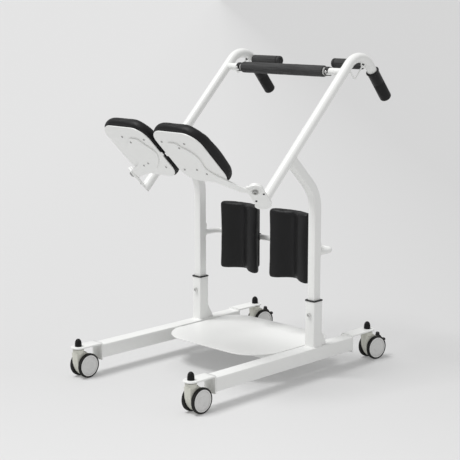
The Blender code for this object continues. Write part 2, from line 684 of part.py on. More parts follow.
def handle_tube(side, sign):
    """A round tube from the seat hub up over a hook to the hand grip, with its welded stubs."""
    y = sign * HALF_TRACK
    centre, slope, across, hinge = hub_frame(sign)
    foot = tube_foot(y)
    slope_down = math.tan(HOOK_DOWN)
    apex_x = (GRIP_LINE[1] + slope_down * GRIP_LINE[0] - TUBE_RISE) / (1 + slope_down)
    apex = (apex_x, y, apex_x + TUBE_RISE)
    down = Vector((math.cos(HOOK_DOWN), 0, -math.sin(HOOK_DOWN)))
    grip_top = grip_start(y)
    end = grip_top + down * (GRIP_L - GRIP_CAP - 0.002)
    path = bent_path([foot - PANEL_NORMAL * 0.03, apex, end], [HOOK_R], 10)
    tube = sweep(path, circle(TUBE_D / 2, 18), ACROSS)
    keep = -HUB_PLATE_T + 0.002
    bmesh.ops.recalc_face_normals(tube, faces=tube.faces[:])
    split = bmesh.ops.bisect_plane(tube, geom=tube.verts[:] + tube.edges[:] + tube.faces[:],
                                   plane_co=centre + hinge * keep, plane_no=hinge, clear_inner=True)
    rim = [e for e in split["geom_cut"] if isinstance(e, bmesh.types.BMEdge)]
    bmesh.ops.holes_fill(tube, edges=rim)
    plate, bore = hub_plate(sign)
    stub = rod((BAR_X, sign * BAR_HALF, BAR_Z), (BAR_X, y - sign * STUB_SINK, BAR_Z), BAR_TUBE_D, 24)
    side_stub = rod((SIDE_GRIP_X, sign * (SIDE_GRIP_IN + GRIP_CAP), SIDE_GRIP_Z),
                    (SIDE_GRIP_X, y, SIDE_GRIP_Z), SIDE_TUBE_D, 20)
    eye = bent_path([(x, y, z) for x, z in STRAP_HOOK], [0.005], 4)
    strap_hook = sweep(eye, circle(STRAP_HOOK_D / 2, 8), ACROSS)
    shape = union(tube, plate, stub, side_stub, strap_hook)
    well = rod((BAR_X - BAR_TUBE_D, sign * button_y(), BAR_Z), (BAR_X, sign * button_y(), BAR_Z),
               BUTTON_D + 2 * GAP, 16)
    piece(f"handle_tube_{side}", cut(shape, bore, well), WHITE, "upper_frame")


def grip_start(y):
    """Where the upper face of a hand grip crosses the tube's centre line."""
    slope_down = math.tan(HOOK_DOWN)
    return Vector((GRIP_TOP_X, y, GRIP_LINE[1] - slope_down * (GRIP_TOP_X - GRIP_LINE[0])))


def hollow_grip(length, outer, inner, lip_d=0.0, lip_l=0.0, cap=GRIP_CAP):
    """Profile of a moulded grip: an open bore, a rolled lip and a rounded closed end."""
    r = outer / 2
    profile = [(inner / 2, 0)]
    if lip_l:
        profile += [(lip_d / 2 - 0.001, 0), (lip_d / 2, 0.001), (lip_d / 2, lip_l - 0.001),
                    (lip_d / 2 - 0.001, lip_l), (r, lip_l + 0.001)]
    else:
        profile += [(r - 0.003, 0), (r - 0.0008, 0.0012), (r, 0.004)]
    edge = min(r * 0.5, 0.009)
    profile += [(r - edge + edge * math.cos(t), length - edge + edge * math.sin(t))
                for t in (0, math.radians(30), math.radians(60), math.radians(85))]
    profile += [(0, length), (0, length - cap), (inner / 2, length - cap)]
    return profile


def bored_lathe(profile, start, axis, count):
    """Turns a profile whose bore wall closes back on its first point."""
    outer = [p for p in profile]
    side = Vector((0, 1, 0)) if abs(axis.y) < 0.9 else Vector((1, 0, 0))
    other = axis.cross(side)
    rows = [ring(start + axis * h, side, other, circle(max(r, 1e-6), count)) for r, h in outer]
    bm = bmesh.new()
    verts = [[bm.verts.new(p) for p in row] for row in rows]
    for low, high in zip(verts, verts[1:] + verts[:1]):
        for i in range(count):
            j = (i + 1) % count
            bm.faces.new((low[i], low[j], high[j], high[i]))
    bmesh.ops.remove_doubles(bm, verts=bm.verts[:], dist=1e-5)
    return bm


def hand_grip(side, sign):
    """The smooth rubber grip over the down-turned end of a handle tube."""
    down = Vector((math.cos(HOOK_DOWN), 0, -math.sin(HOOK_DOWN)))
    start = grip_start(sign * HALF_TRACK)
    profile = hollow_grip(GRIP_L, GRIP_D, TUBE_D + 2 * GAP, GRIP_LIP_D, GRIP_LIP_L)
    piece(f"hand_grip_{side}", bored_lathe(profile, start, down, 20), RUBBER, "upper_frame")


def side_grip(side, sign):
    """The foam grip on the inboard stub of a hook."""
    start = Vector((SIDE_GRIP_X, sign * SIDE_GRIP_OUT, SIDE_GRIP_Z))
    length = SIDE_GRIP_OUT - SIDE_GRIP_IN
    profile = hollow_grip(length, SIDE_GRIP_D, SIDE_TUBE_D + 2 * GAP, cap=GRIP_CAP - 2 * GAP)
    piece(f"side_grip_{side}", bored_lathe(profile, start, ACROSS * -sign, 20), RUBBER, "upper_frame")


def crossbar():
    """A steel tube between the two sockets, sheathed in foam."""
    half = BAR_HALF - GAP
    tube_d = BAR_TUBE_D - 0.003
    piece("crossbar_tube", rod((BAR_X, -half, BAR_Z), (BAR_X, half, BAR_Z), tube_d, 16), STEEL,
          "upper_frame")
    r, inner = BAR_FOAM_D / 2, tube_d / 2 + GAP
    start = Vector((BAR_X, -half, BAR_Z))
    profile = [(inner, 0), (r - 0.0035, 0), (r - 0.001, 0.0012), (r, 0.004),
               (r, 2 * half - 0.004), (r - 0.001, 2 * half - 0.0012), (r - 0.0035, 2 * half),
               (inner, 2 * half)]
    piece("crossbar_foam", bored_lathe(profile, start, ACROSS, 20), RUBBER, "upper_frame")


def button_y():
    return BAR_HALF + 0.004 + CLIP_L / 2


def button_seat(sign):
    """Inner face of a snap button, on the axis that it is pressed along."""
    return Vector((BAR_X - BAR_TUBE_D / 2 + 0.004, sign * button_y(), BAR_Z))


def clip(side, sign):
    """A moulded ring round the socket, open where the snap button comes through."""
    start = Vector((BAR_X, sign * (BAR_HALF + 0.004), BAR_Z))
    inner = BAR_TUBE_D / 2 + GAP
    outer = inner + CLIP_WALL
    profile = [(inner, 0), (outer - 0.0006, 0), (outer, 0.001), (outer, CLIP_L - 0.001),
               (outer - 0.0006, CLIP_L), (inner, CLIP_L)]
    ring_shape = bored_lathe(profile, start, ACROSS * sign, 20)
    at = Vector((BAR_X, sign * button_y(), BAR_Z))
    window = rod(at - Vector((BAR_TUBE_D, 0, 0)), at, BUTTON_D + 2 * GAP, 16)
    piece(f"crossbar_clip_{side}", cut(ring_shape, window), RUBBER, "upper_frame")


def button(side, sign):
    """The spring-loaded snap button that locks the crossbar in its socket."""
    at = button_seat(sign)
    reach = 0.004 + GAP + CLIP_WALL + BUTTON_OUT
    r = BUTTON_D / 2
    profile = [(0, 0), (r, 0), (r, reach - 0.0015), (r - 0.0015, reach - 0.0003), (0, reach)]
    piece(f"crossbar_button_{side}", lathe(profile, at, Vector((-1, 0, 0)), 16), STEEL,
          f"button_{side}")


def knee_run_x():
    return KNEE_BACK_X + KNEE_SHELL_T + KNEE_ROD_D / 2 + 2 * GAP


def knee_bar():
    """One rod bent into a wide U behind the pads, welded to a plate on each mast."""
    face = UPRIGHT_X + MAST / 2 + GAP
    x, y = knee_run_x(), HALF_TRACK
    start = face + KNEE_PLATE_T - 0.001
    corners = [(start, y, KNEE_Z), (x, y, KNEE_Z), (x, -y, KNEE_Z), (start, -y, KNEE_Z)]
    path = bent_path(corners, [KNEE_BEND_R, KNEE_BEND_R], 5)
    shapes = [sweep(path, circle(KNEE_ROD_D / 2, 16), UP)]
    half = (KNEE_PLATE_HIGH - KNEE_PLATE_LOW) / 2
    outline = rounded_rect(KNEE_PLATE_W / 2, half, 0.004, 3)
    for sign in SIDES.values():
        at = Vector((face, sign * y, (KNEE_PLATE_LOW + KNEE_PLATE_HIGH) / 2))
        ends = (at, at + Vector((KNEE_PLATE_T, 0, 0)))
        shapes.append(loft([ring(end, ACROSS, UP, outline) for end in ends]))
        head_at = at + Vector((KNEE_PLATE_T - 0.0015, 0, half - 0.012))
        shapes.append(lathe([(0, 0), (0.0065, 0), (0.0065, 0.005), (0.005, 0.0065), (0, 0.007)],
                            head_at, Vector((1, 0, 0)), 12))
    piece("knee_bar", union(*shapes), WHITE, "upper_frame")


def knee_front(t):
    """Depth of the pad's front at t across it, 0 to 1: two bolsters with a round channel."""
    channel = math.exp(-((t - 0.5) / 0.19) ** 2)
    return KNEE_FRONT_X + (KNEE_CHANNEL_X - KNEE_FRONT_X) * channel + 0.003 * abs(2 * t - 1) ** 4


def knee_back(t):
    """Depth of the pad's back at t across it: flat in the middle, turned in at the sides."""
    return KNEE_SIDE_X + (KNEE_BACK_X - GAP - KNEE_SIDE_X) * min(1.0, 4.2 * t * (1 - t)) ** 1.5


def knee_pad(side, sign):
    """An upright cushion with a shin channel between two crowned bolsters."""
    low, high, radius = KNEE_PAD_LOW, KNEE_PAD_HIGH, KNEE_PAD_R

    def level(z, inset, back_off):
        width = KNEE_PAD_W - 2 * inset
        points = []
        for t in KNEE_STATIONS:
            dip = max(0.0, radius - min(t, 1 - t) * KNEE_PAD_W)
            roll = radius - math.sqrt(radius ** 2 - dip ** 2)
            y = KNEE_PAD_IN + inset + width * t
            points.append(Vector((knee_front(t) + roll + back_off, sign * y, z)))
        for t in (1, 0.92, 0.80, 0.61, 0.39, 0.20, 0.08, 0):
            y = KNEE_PAD_IN + inset + width * t
            points.append(Vector((max(knee_back(t), points[0].x + 0.004), sign * y, z)))
        return points

    rows = []
    for turn in (90, 62, 36, 14):
        lift, inset = 1 - math.sin(math.radians(turn)), 1 - math.cos(math.radians(turn))
        rows.append((lift * radius, inset * radius * 0.55, inset * radius * 0.9))
    bottom = [level(low + lift, inset, back_off) for lift, inset, back_off in rows]
    top = [level(high - lift, inset, back_off) for lift, inset, back_off in rows[::-1]]
    middle = []
    for share in (0.0, 0.2, 0.4, 0.6, 0.8, 1.0):
        z = low + radius + (high - low - 2 * radius) * share
        swell = math.sin(math.pi * share)
        middle.append(level(z, KNEE_PAD_PULL * swell, -KNEE_PAD_CROWN * swell))
    piece(f"knee_pad_{side}", loft(bottom + middle + top), VINYL, "upper_frame", smooth=60)


def knee_shell(side, sign):
    """The moulded board behind a knee pad, with two saddles that hold it on the bar."""
    mid_y = KNEE_PAD_IN + KNEE_PAD_W / 2
    mid = Vector((KNEE_BACK_X, sign * mid_y, (KNEE_PAD_LOW + KNEE_PAD_HIGH) / 2))
    outline = rounded_rect(KNEE_SHELL_W / 2, (KNEE_PAD_HIGH - KNEE_PAD_LOW) / 2 - 0.014, 0.012, 4)
    board = loft([ring(mid + Vector((d, 0, 0)), ACROSS, UP, outline) for d in (0, KNEE_SHELL_T)])
    bar_r = KNEE_ROD_D / 2 + GAP
    shapes = [board]
    for y in (mid_y - KNEE_SADDLE_Y, mid_y + KNEE_SADDLE_Y):
        at = Vector((knee_run_x(), sign * y, KNEE_Z))
        hoop = [(-bar_r - 0.002, -0.022), (-bar_r + 0.003, -0.022), (-bar_r + 0.003, -bar_r - 0.003)]
        hoop += arc((0, 0), bar_r + 0.003, -math.pi * 0.45, math.pi * 0.45, 8)
        hoop += [(-bar_r + 0.003, bar_r + 0.003), (-bar_r + 0.003, 0.022), (-bar_r - 0.002, 0.022)]
        shapes.append(prism(hoop, at, Vector((1, 0, 0)), UP, -0.009, 0.009))
    channel = rod((knee_run_x(), sign * (mid_y - 0.1), KNEE_Z),
                  (knee_run_x(), sign * (mid_y + 0.1), KNEE_Z), 2 * bar_r, 24)
    piece(f"knee_shell_{side}", cut(union(*shapes), channel), RUBBER, "upper_frame")


def seat_point(sign, s, w, h):
    """World place of a point given down the seat's slope, out from the middle and up."""
    middle = Vector((SEAT_X, 0, SEAT_Z))
    return middle + PANEL_SLOPE * s + ACROSS * sign * w + PANEL_NORMAL * h


def panel_outline(inset=0.0, steps=6):
    """Outline of a seat half: round corners and an outer side that bows a little."""
    half_w = (PANEL_OUT - PANEL_IN) / 2
    mid_w = (PANEL_OUT + PANEL_IN) / 2
    flat = rounded_rect(PANEL_HALF_S - inset, half_w - inset, PANEL_R - inset, steps)
    points = []
    for s, w in flat:
        if w > 0:
            w += 0.004 * (w / half_w) * max(0.0, 1 - (s / PANEL_HALF_S) ** 2)
        points.append((s, w + mid_w))
    return points


def seat_panel(side, sign):
    """The metal tray that a seat cushion is screwed to, white underneath."""
    rows = [[seat_point(sign, s, w, h) for s, w in panel_outline(inset)]
            for inset, h in ((0.0015, 0.0), (0, 0.0015), (0, PANEL_T))]
    tray = loft(rows)
    lip = [(-0.007, PANEL_IN + 0.004), (-0.007, PANEL_IN - 0.006), (0.007, PANEL_IN - 0.006),
           (0.007, PANEL_IN + 0.004)]
    tab = loft([[seat_point(sign, s, w, h) for s, w in lip] for h in (0.0005, PANEL_T - 0.0005)])
    piece(f"seat_panel_{side}", union(tray, tab), WHITE, f"seat_{side}")


def seat_pad(side, sign):
    """A crowned cushion whose sides draw in between its corners."""
    base = PANEL_T + GAP
    half_w = (PANEL_OUT - PANEL_IN) / 2
    mid_w = (PANEL_OUT + PANEL_IN) / 2

    def level(inset, h, pull=1.0, scale=1.0):
        points = []
        for s, w in panel_outline(inset - PAD_OVER):
            u, v = s / PANEL_HALF_S, (w - mid_w) / half_w
            draw = PAD_PULL * pull
            s -= draw * u * max(0.0, 1 - v * v)
            w -= draw * v * max(0.0, 1 - u * u)
            points.append(seat_point(sign, s * scale, mid_w + (w - mid_w) * scale, base + h))
        return points

    edge = PAD_EDGE_R
    rows = [level(0.004, 0, 0.0), level(0.0005, 0.004, 0.5), level(0, 0.011)]
    for turn in (10, 35, 60, 82):
        a = math.radians(turn)
        rows.append(level(edge * (1 - math.cos(a)), PAD_EDGE_T - edge + edge * math.sin(a)))
    for scale in (0.84, 0.62, 0.38, 0.14):
        rows.append(level(edge, PAD_EDGE_T + PAD_CROWN * (1 - scale * scale), 1.0, scale))
    piece(f"seat_pad_{side}", loft(rows), VINYL, f"seat_{side}", smooth=60)


def seat_arm(side, sign):
    """Flat arm plate under a seat half, folded at its outer end into the hub's plane."""
    centre, slope, across, hinge = hub_frame(sign)
    from_middle = centre - seat_point(sign, 0, 0, 0)
    hub_s, hub_h = from_middle.dot(PANEL_SLOPE), from_middle.dot(PANEL_NORMAL)
    web_level = (HUB_RUN + DISC_H) / 2
    drop = hub_h + web_level / math.cos(HUB_TILT) + ARM_T / 2 + GAP
    fold_w = HUB_Y - drop / math.tan(HUB_TILT)
    upper = arm_crossing(fold_w, rising=True)
    lower = arm_crossing(fold_w, rising=False)
    past = [i for i, (s, w) in enumerate(ARM_OUTLINE) if w >= fold_w]
    outline = list(ARM_OUTLINE[:past[0]]) + [upper, (upper[0], fold_w + 0.0015)]
    outline += [(lower[0], fold_w + 0.0015), lower] + list(ARM_OUTLINE[past[-1] + 1:])
    strap = loft([[seat_point(sign, s, w, h) for s, w in outline] for h in (-GAP - ARM_T, -GAP)])
    fold = -(HUB_Y - fold_w) / math.cos(HUB_TILT) - 0.0015
    neck = [(upper[0] - hub_s, fold), (lower[0] - hub_s, fold), *ARM_NECK]
    web = hub_prism(sign, neck, web_level - ARM_T / 2, web_level + ARM_T / 2)
    disc = hub_prism(sign, circle(DISC_R, 28), HUB_RUN, DISC_H)
    bore = hub_prism(sign, circle(BOLT_D / 2 + GAP, 20), -0.03, 0.04)
    piece(f"seat_arm_{side}", cut(union(strap, web, disc), bore), WHITE, f"seat_{side}")


def arm_crossing(w, rising):
    """Where the arm's outline crosses a line at a given distance from the middle."""
    points = list(ARM_OUTLINE)
    for (s0, w0), (s1, w1) in zip(points, points[1:]):
        if (w0 < w <= w1) if rising else (w0 >= w > w1):
            return (s0 + (s1 - s0) * (w - w0) / (w1 - w0), w)
    raise ValueError("the arm's outline doesn't reach its fold")


def pivot_bolt(side, sign):
    """The hinge pin of a seat half: a domed head outside and a hexagon nut inside."""
    centre, slope, across, hinge = hub_frame(sign)
    head_low = -HUB_PLATE_T - HUB_BOSS_H - GAP
    r = BOLT_HEAD_D / 2
    profile = [(0, head_low - BOLT_HEAD_H), (r * 0.6, head_low - BOLT_HEAD_H + 0.0007),
               (r - 0.001, head_low - 0.0025), (r, head_low), (BOLT_D / 2, head_low),
               (BOLT_D / 2, DISC_H + GAP + NUT_H + 0.0015), (0, DISC_H + GAP + NUT_H + 0.0015)]
    shank = lathe(profile, centre, hinge, 20)
    nut_r = NUT_AF / math.sqrt(3)
    hexagon = [(nut_r * math.cos(k * math.pi / 3), nut_r * math.sin(k * math.pi / 3)) for k in range(6)]
    nut = hub_prism(sign, hexagon, DISC_H + GAP, DISC_H + GAP + NUT_H)
    piece(f"pivot_bolt_{side}", union(shank, nut), STEEL, "upper_frame")


clear_scene()
WHITE = finish("white_powder_coat", (0.84, 0.85, 0.82), 0.42)
RUBBER = finish("black_rubber", (0.020, 0.020, 0.020), 0.62)
VINYL = finish("black_vinyl", (0.018, 0.018, 0.019), 0.55)
CASTER_GREY = finish("caster_housing", (0.56, 0.56, 0.50), 0.45)
WHEEL_GREY = finish("wheel_grey", (0.42, 0.43, 0.42), 0.50)
STEEL = finish("bright_steel", (0.62, 0.62, 0.61), 0.28, 1.0)

make_bodies()
for place, end, at in caster_names():
    bumper(place, at)
    caster_bracket(place, end, at)
    housing(place, end, at)
    for which, way in WHEEL_PAIR.items():
        wheel(place, at, which, way)
footplate()
for end, x in CROSS_X.items():
    cross_tube(end, x)
crossbar()
knee_bar()
for side, sign in SIDES.items():
    leg(side, sign)
    brake_pedal(side, sign)
    sleeve(side, sign)
    collar(side, sign)
    lock_screw(side, sign)
    mast(side, sign)
    handle_tube(side, sign)
    hand_grip(side, sign)
    side_grip(side, sign)
    clip(side, sign)
    button(side, sign)
    knee_pad(side, sign)
    knee_shell(side, sign)
    seat_panel(side, sign)
    seat_pad(side, sign)
    seat_arm(side, sign)
    pivot_bolt(side, sign)
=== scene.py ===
"""Looks of the stand-up transfer chair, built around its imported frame.

+X forward from the entry side to the hand grips, +Y to the user's left, +Z up. Every new piece
is a surface worked out with numpy in that frame, in millimetres, and rides on the body it
belongs to. Meshes, bump depths and the studio are in metres.
"""

from math import acos, asin, atan2, cos, hypot, pi, radians, sin, sqrt, tan

import bpy
import numpy as np
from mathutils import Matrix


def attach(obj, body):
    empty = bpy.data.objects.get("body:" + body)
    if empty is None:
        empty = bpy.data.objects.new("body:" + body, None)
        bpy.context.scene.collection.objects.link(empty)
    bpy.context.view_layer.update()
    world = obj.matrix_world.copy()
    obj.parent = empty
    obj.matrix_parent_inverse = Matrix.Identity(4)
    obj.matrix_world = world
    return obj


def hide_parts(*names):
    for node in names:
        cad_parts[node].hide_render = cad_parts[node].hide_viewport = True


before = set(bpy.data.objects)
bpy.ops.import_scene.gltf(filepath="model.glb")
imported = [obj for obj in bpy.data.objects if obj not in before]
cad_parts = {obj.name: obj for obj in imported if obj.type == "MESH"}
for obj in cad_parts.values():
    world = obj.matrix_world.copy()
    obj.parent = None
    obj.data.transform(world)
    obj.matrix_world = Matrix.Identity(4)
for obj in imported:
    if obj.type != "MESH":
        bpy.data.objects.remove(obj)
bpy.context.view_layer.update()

SIDES = {"left": 1, "right": -1}
FORWARD, LEFT, UP = np.eye(3)
QUARTER = pi / 2
MM = 0.001
GAP = 0.3

# Casters
CASTER_X, HALF_TRACK = {"entry": -446.0, "front": 379.5}, 261.0
CASTER_YAW = {"entry": 0.0, "front": radians(-10)}
WHEEL_R, WHEEL_W, CASTER_WEB, CASTER_TRAIL = 40.0, 12.0, 29.0, 24.2
HEAD_R, HEAD_BASE_Z, HEAD_TOP_Z = 18.0, 82.2, 95.5
TONGUE_TOP_Z, TONGUE_T = 104.5, 5.0

# Base
LEG_W, LEG_LOW_Z, LEG_TOP_Z, LEG_X = 48.0, 53.8, 99.6, (-364.0, 270.0)
STEP_TOP_Z, STEP_T, STEP_X = 97.5, 4.0, (-136.5, 252.5)
CROSS_X = {"entry": -27.5, "front": 192.5}

# Uprights
UPRIGHT_X, SLEEVE_HALF, SLEEVE_TOP_Z, MAST_HALF = 101.5, 20.0, 249.0, 15.0
MAST_CORNER_Z, MAST_BEND_R, LOCK_Z = 597.0, 120.0, 205.0

# Push handles
TUBE_R, TUBE_RISE, HOOK_R, HOOK_DOWN = 16.0, 738.0, 72.0, radians(50)
GRIP_AXIS = np.array((cos(HOOK_DOWN), 0, -sin(HOOK_DOWN)))
GRIP_LINE, GRIP_TOP_X, GRIP_L = (407.5, 937.0), 376.5, 129.0
BAR_X, BAR_Z, BAR_HALF, BAR_TUBE_R = 234.4, 972.4, 185.6, 12.0
SIDE_GRIP_AT, SIDE_GRIP_Y = (353.0, 992.0), (119.0, 243.5)
STRAP_HOOK = ((258.7, 981.2), (289.5, 947.0), (336.5, 998.5))

# Knee support
KNEE_Z, KNEE_ROD_R, KNEE_RUN_X = 403.0, 9.0, 193.6
KNEE_Y, KNEE_SPAN_Z = (26.0, 203.0), (284.0, 520.0)

# Seat halves and their hubs
SEAT_MIDDLE = np.array((-304.2, 0, 733.7))
SLOPE, NORMAL = np.array((1.0, 0, -1)) / sqrt(2), np.array((1.0, 0, 1)) / sqrt(2)
TRAY_T, TRAY_HALF_S, TRAY_HALF_W, TRAY_MID_W, TRAY_R = 3.7, 117.5, 100.5, 113.0, 55.0
ARM_T = 4.5
ARM_OUTLINE = (
    (-68, 68), (-68, 104), (-51, 120), (-35, 142), (-18, 154), (4, 158), (24, 154), (41, 151), (54, 158),
    (72, 178), (88, 206), (120, 265), (152, 265), (132, 212), (104, 141), (76, 90), (30, 46), (-7, 26),
    (-29, 40), (-49, 57),
)
ARM_NECK = ((0.1, -37.5), (16.5, -16.5), (3, -4), (1.7, -16))
HUB_X, HUB_Y, HUB_Z, HUB_TILT = -186.4, 273.5, 640.9, radians(28.7)
HUB_R, HUB_END_AT, HUB_END_R, HUB_PLATE_T = 25.0, (59.0, -3.5), 24.5, 7.0
HUB_WEB_LEVEL = 3.4
TRAY_SCREWS = ((-65.5, 40), (-67, 139.5), (66, 42))
ARM_SCREWS = ((67, 142), (-50, 109), (52, 110))


# Surfaces

def unit(vectors):
    """Each vector divided by its length."""
    vectors = np.asarray(vectors, float)
    return vectors / np.linalg.norm(vectors, axis=-1, keepdims=True)


def outward(points, blocks):
    """Turns the faces round where the volume they hold is negative.

    The volume is a sixth of the sum of a . (b x c) over the fan of triangles of each face.
    """
    arm = points - points.mean(0)
    volume = sum((arm[b[:, :1]] * np.cross(arm[b[:, 1:-1]], arm[b[:, 2:]])).sum() for b in blocks)
    return points, blocks if volume > 0 else [b[:, ::-1] for b in blocks]


def skin(rows, wrap=False, poles=(None, None)):
    """A closed surface over a grid of points whose columns run round.

    Face (i, j) joins points (i, j), (i, j+1), (i+1, j+1) and (i+1, j). The first and last rows
    close on a single face, or as a fan on the pole given for them, unless the rows wrap round.
    """
    rows = np.asarray(rows, float)
    count, width = rows.shape[:2]
    i = np.arange(count if wrap else count - 1)[:, None]
    j = np.arange(width)[None]
    after, beside = (i + 1) % count, (j + 1) % width
    quads = [i * width + j, i * width + beside, after * width + beside, after * width + j]
    points, blocks = [rows.reshape(-1, 3)], [np.stack(quads, -1).reshape(-1, 4)]
    spare = count * width
    for pole, start in () if wrap else zip(poles, (0, spare - width)):
        rim = start + np.arange(width)
        if pole is None:
            block = rim[None]
        else:
            points.append(np.asarray(pole, float)[None])
            block = np.stack([rim, np.roll(rim, -1), np.full(width, spare)], -1)
            spare += 1
        blocks.append(block if start else block[:, ::-1])
    return outward(np.concatenate(points), blocks)


def spoke(t):
    """The direction (cos t, sin t), of one angle or of many."""
    return np.stack([np.cos(t), np.sin(t)], -1)


def circle(radius, sides):
    """Points radius (cos t, sin t), t running once round."""
    return radius * spoke(np.arange(sides) * 2 * np.pi / sides)


def arc(centre, radius, start, end, steps):
    """Points centre + radius (cos t, sin t), t running evenly from start to end."""
    return np.asarray(centre) + radius * spoke(np.linspace(start, end, steps + 1))


def rounded_box(half_a, half_b, radius, steps=6):
    """A rectangle's outline: each corner's centre + radius (cos t, sin t) over its quarter turn."""
    t = (np.arange(4)[:, None] + np.linspace(0, 1, steps + 1)) * QUARTER
    corner = np.array(((1, 1), (-1, 1), (-1, -1), (1, -1))) * (half_a - radius, half_b - radius)
    return (corner[:, None] + radius * spoke(t)).reshape(-1, 2)


def eased(points, radius, steps=5, closed=True):
    """Rounds the corners of a line: (1-t)^2 a + 2t(1-t) corner + t^2 b at each.

    a and b lie at the radius from the corner, or at 0.48 of the shorter run beside it.
    """
    points = np.asarray(points, float)
    before, after = np.roll(points, 1, 0) - points, np.roll(points, -1, 0) - points
    lengths = np.minimum(np.linalg.norm(before, axis=1), np.linalg.norm(after, axis=1))
    reach = np.minimum(radius, 0.48 * lengths)[:, None]
    a, b = points + unit(before) * reach, points + unit(after) * reach
    t = np.linspace(0, 1, steps + 1)[None, :, None]
    curves = (1 - t) ** 2 * a[:, None] + 2 * t * (1 - t) * points[:, None] + t ** 2 * b[:, None]
    if closed:
        return curves.reshape(-1, points.shape[1])
    inner = curves[1:-1].reshape(-1, points.shape[1])
    return np.concatenate([points[:1], inner, points[-1:]])


def inset(outline, depth):
    """Moves each point of an anticlockwise outline inward along the mean normal of its edges."""
    come = unit(outline - np.roll(outline, 1, 0))
    go = unit(np.roll(outline, -1, 0) - outline)
    mean = unit(np.stack([-(come + go)[:, 1], (come + go)[:, 0]], -1))
    square = np.stack([-go[:, 1], go[:, 0]], -1)
    return outline + mean * depth / np.maximum((mean * square).sum(-1, keepdims=True), 0.6)


def laid(place, outline, level=0.0):
    """World points origin + a first + b second + level third of an outline's (a, b)."""
    origin, first, second, third = place
    outline = np.atleast_2d(outline)
    return origin + outline[:, :1] * first + outline[:, 1:] * second + level * third


def slab(place, outline, low, high, edge=0.8, steps=3):
    """A plate with rounded edges: the outline set in by edge (1 - sin t) at edge (1 - cos t)."""
    outline = np.asarray(outline, float)
    onward = np.roll(outline, -1, 0)
    if (outline[:, 0] * onward[:, 1] - outline[:, 1] * onward[:, 0]).sum() < 0:
        outline = outline[::-1]
    t = np.linspace(0, QUARTER, steps + 1)
    depth, rise = edge * (1 - np.sin(t)), edge * (1 - np.cos(t))
    rows = [laid(place, inset(outline, d), low + h) for d, h in zip(depth, rise)]
    rows += [laid(place, inset(outline, d), high - h) for d, h in zip(depth[::-1], rise[::-1])]
    return skin(rows)


def turned(profile, origin, axis, sides=48, wrap=False, ease=0.0):
    """A profile (r, h) carried round an axis: origin + h axis + r (cos t side + sin t other)."""
    profile = np.asarray(profile, float)
    if ease:
        profile = eased(profile, ease, 4, closed=wrap)
    axis = unit(axis)
    side = unit(np.cross(LEFT if abs(axis[1]) < 0.9 else FORWARD, axis))
    spokes = circle(1.0, sides) @ np.stack([side, np.cross(axis, side)])
    rows = origin + profile[:, 1, None, None] * axis + profile[:, 0, None, None] * spokes
    ends = [None if profile[k, 0] > 0.001 or wrap else origin + profile[k, 1] * axis for k in (0, -1)]
    rows = rows[(ends[0] is not None):len(rows) - (ends[1] is not None)]
    return skin(rows, wrap, ends)


def bent(corners, radii, steps=20):
    """Straight runs joined by tangent arcs.

    Each arc is centre + cos t arm + sin t (axis x arm), its centre r / cos(turn / 2) from the
    corner along the inner bisector.
    """
    corners = np.asarray(corners, float)
    runs = [corners[:1]]
    for before, corner, after, radius in zip(corners, corners[1:], corners[2:], radii):
        come, go = unit(corner - before), unit(after - corner)
        turn = acos(float(np.clip(come @ go, -1, 1)))
        centre = corner + unit(go - come) * radius / cos(turn / 2)
        arm = corner - come * radius * tan(turn / 2) - centre
        t = np.linspace(0, turn, steps + 1)[:, None]
        runs.append(centre + np.cos(t) * arm + np.sin(t) * np.cross(unit(np.cross(come, go)), arm))
    return np.concatenate(runs + [corners[-1:]])


def swept(path, outline, flat, foot=None):
    """An outline carried along a flat path: path_i + a (flat x along_i) + b flat.

    A foot is a plane (point, normal) that the first ring is slid along the path to meet.
    """
    steps = unit(np.diff(path, axis=0))
    along = unit(np.concatenate([steps[:1], steps[:-1] + steps[1:], steps[-1:]]))
    across = np.cross(flat, along)
    rows = path[:, None] + outline[None, :, :1] * across[:, None] + outline[None, :, 1:] * flat
    if foot:
        point, normal = foot
        slide = ((point - rows[0]) @ normal) / (along[0] @ normal)
        rows[0] += slide[:, None] * along[0]
    return skin(rows)


def bead(path, normals, radius=1.3, sides=8, pitch=3.5):
    """A closed run of weld: path + r (cos t normal + sin t along x normal), r rippling a tenth."""
    along = unit(np.roll(path, -1, 0) - np.roll(path, 1, 0))
    side = np.cross(along, normals)
    run = np.cumsum(np.linalg.norm(path - np.roll(path, 1, 0), axis=1))
    swell = radius * (1 + 0.10 * np.sin(2 * np.pi * run / pitch))[:, None, None]
    rim = circle(1.0, sides)
    rows = path[:, None] + swell * (rim[None, :, :1] * normals[:, None] + rim[None, :, 1:] * side[:, None])
    return skin(rows, wrap=True)


def finer(outline, steps):
    """Each edge of a closed outline in equal steps, as one row of points per edge."""
    t = np.linspace(0, 1, steps + 1)[:-1, None]
    return outline[:, None] * (1 - t) + np.roll(outline, -1, 0)[:, None] * t


def box_bead(place, half_a, half_b, radius, size=1.3):
    """Weld round the foot of a box tube, on the plane of a place."""
    outline = rounded_box(half_a, half_b, radius, 8)
    straight = np.linalg.norm(outline - np.roll(outline, -1, 0), axis=1) > 2
    outline = np.concatenate([w if k else w[:1] for w, k in zip(finer(outline, 13), straight)])
    return bead(laid(place, outline), np.tile(unit(place[3]), (len(outline), 1)), size)


def saddle_bead(centre, tube_r, tube_axis, stub_axis, outline, size=1.2):
    """Weld where a stub meets a round tube: a along the tube, b across it, at height sqrt(R^2 - b^2)."""
    third = np.cross(stub_axis, tube_axis)
    height = np.sqrt(np.maximum(tube_r ** 2 - outline[:, 1] ** 2, 0))[:, None]
    lean = outline[:, 1:] * third + height * stub_axis
    return bead(centre + outline[:, :1] * tube_axis + lean, unit(lean), size)


# Pieces

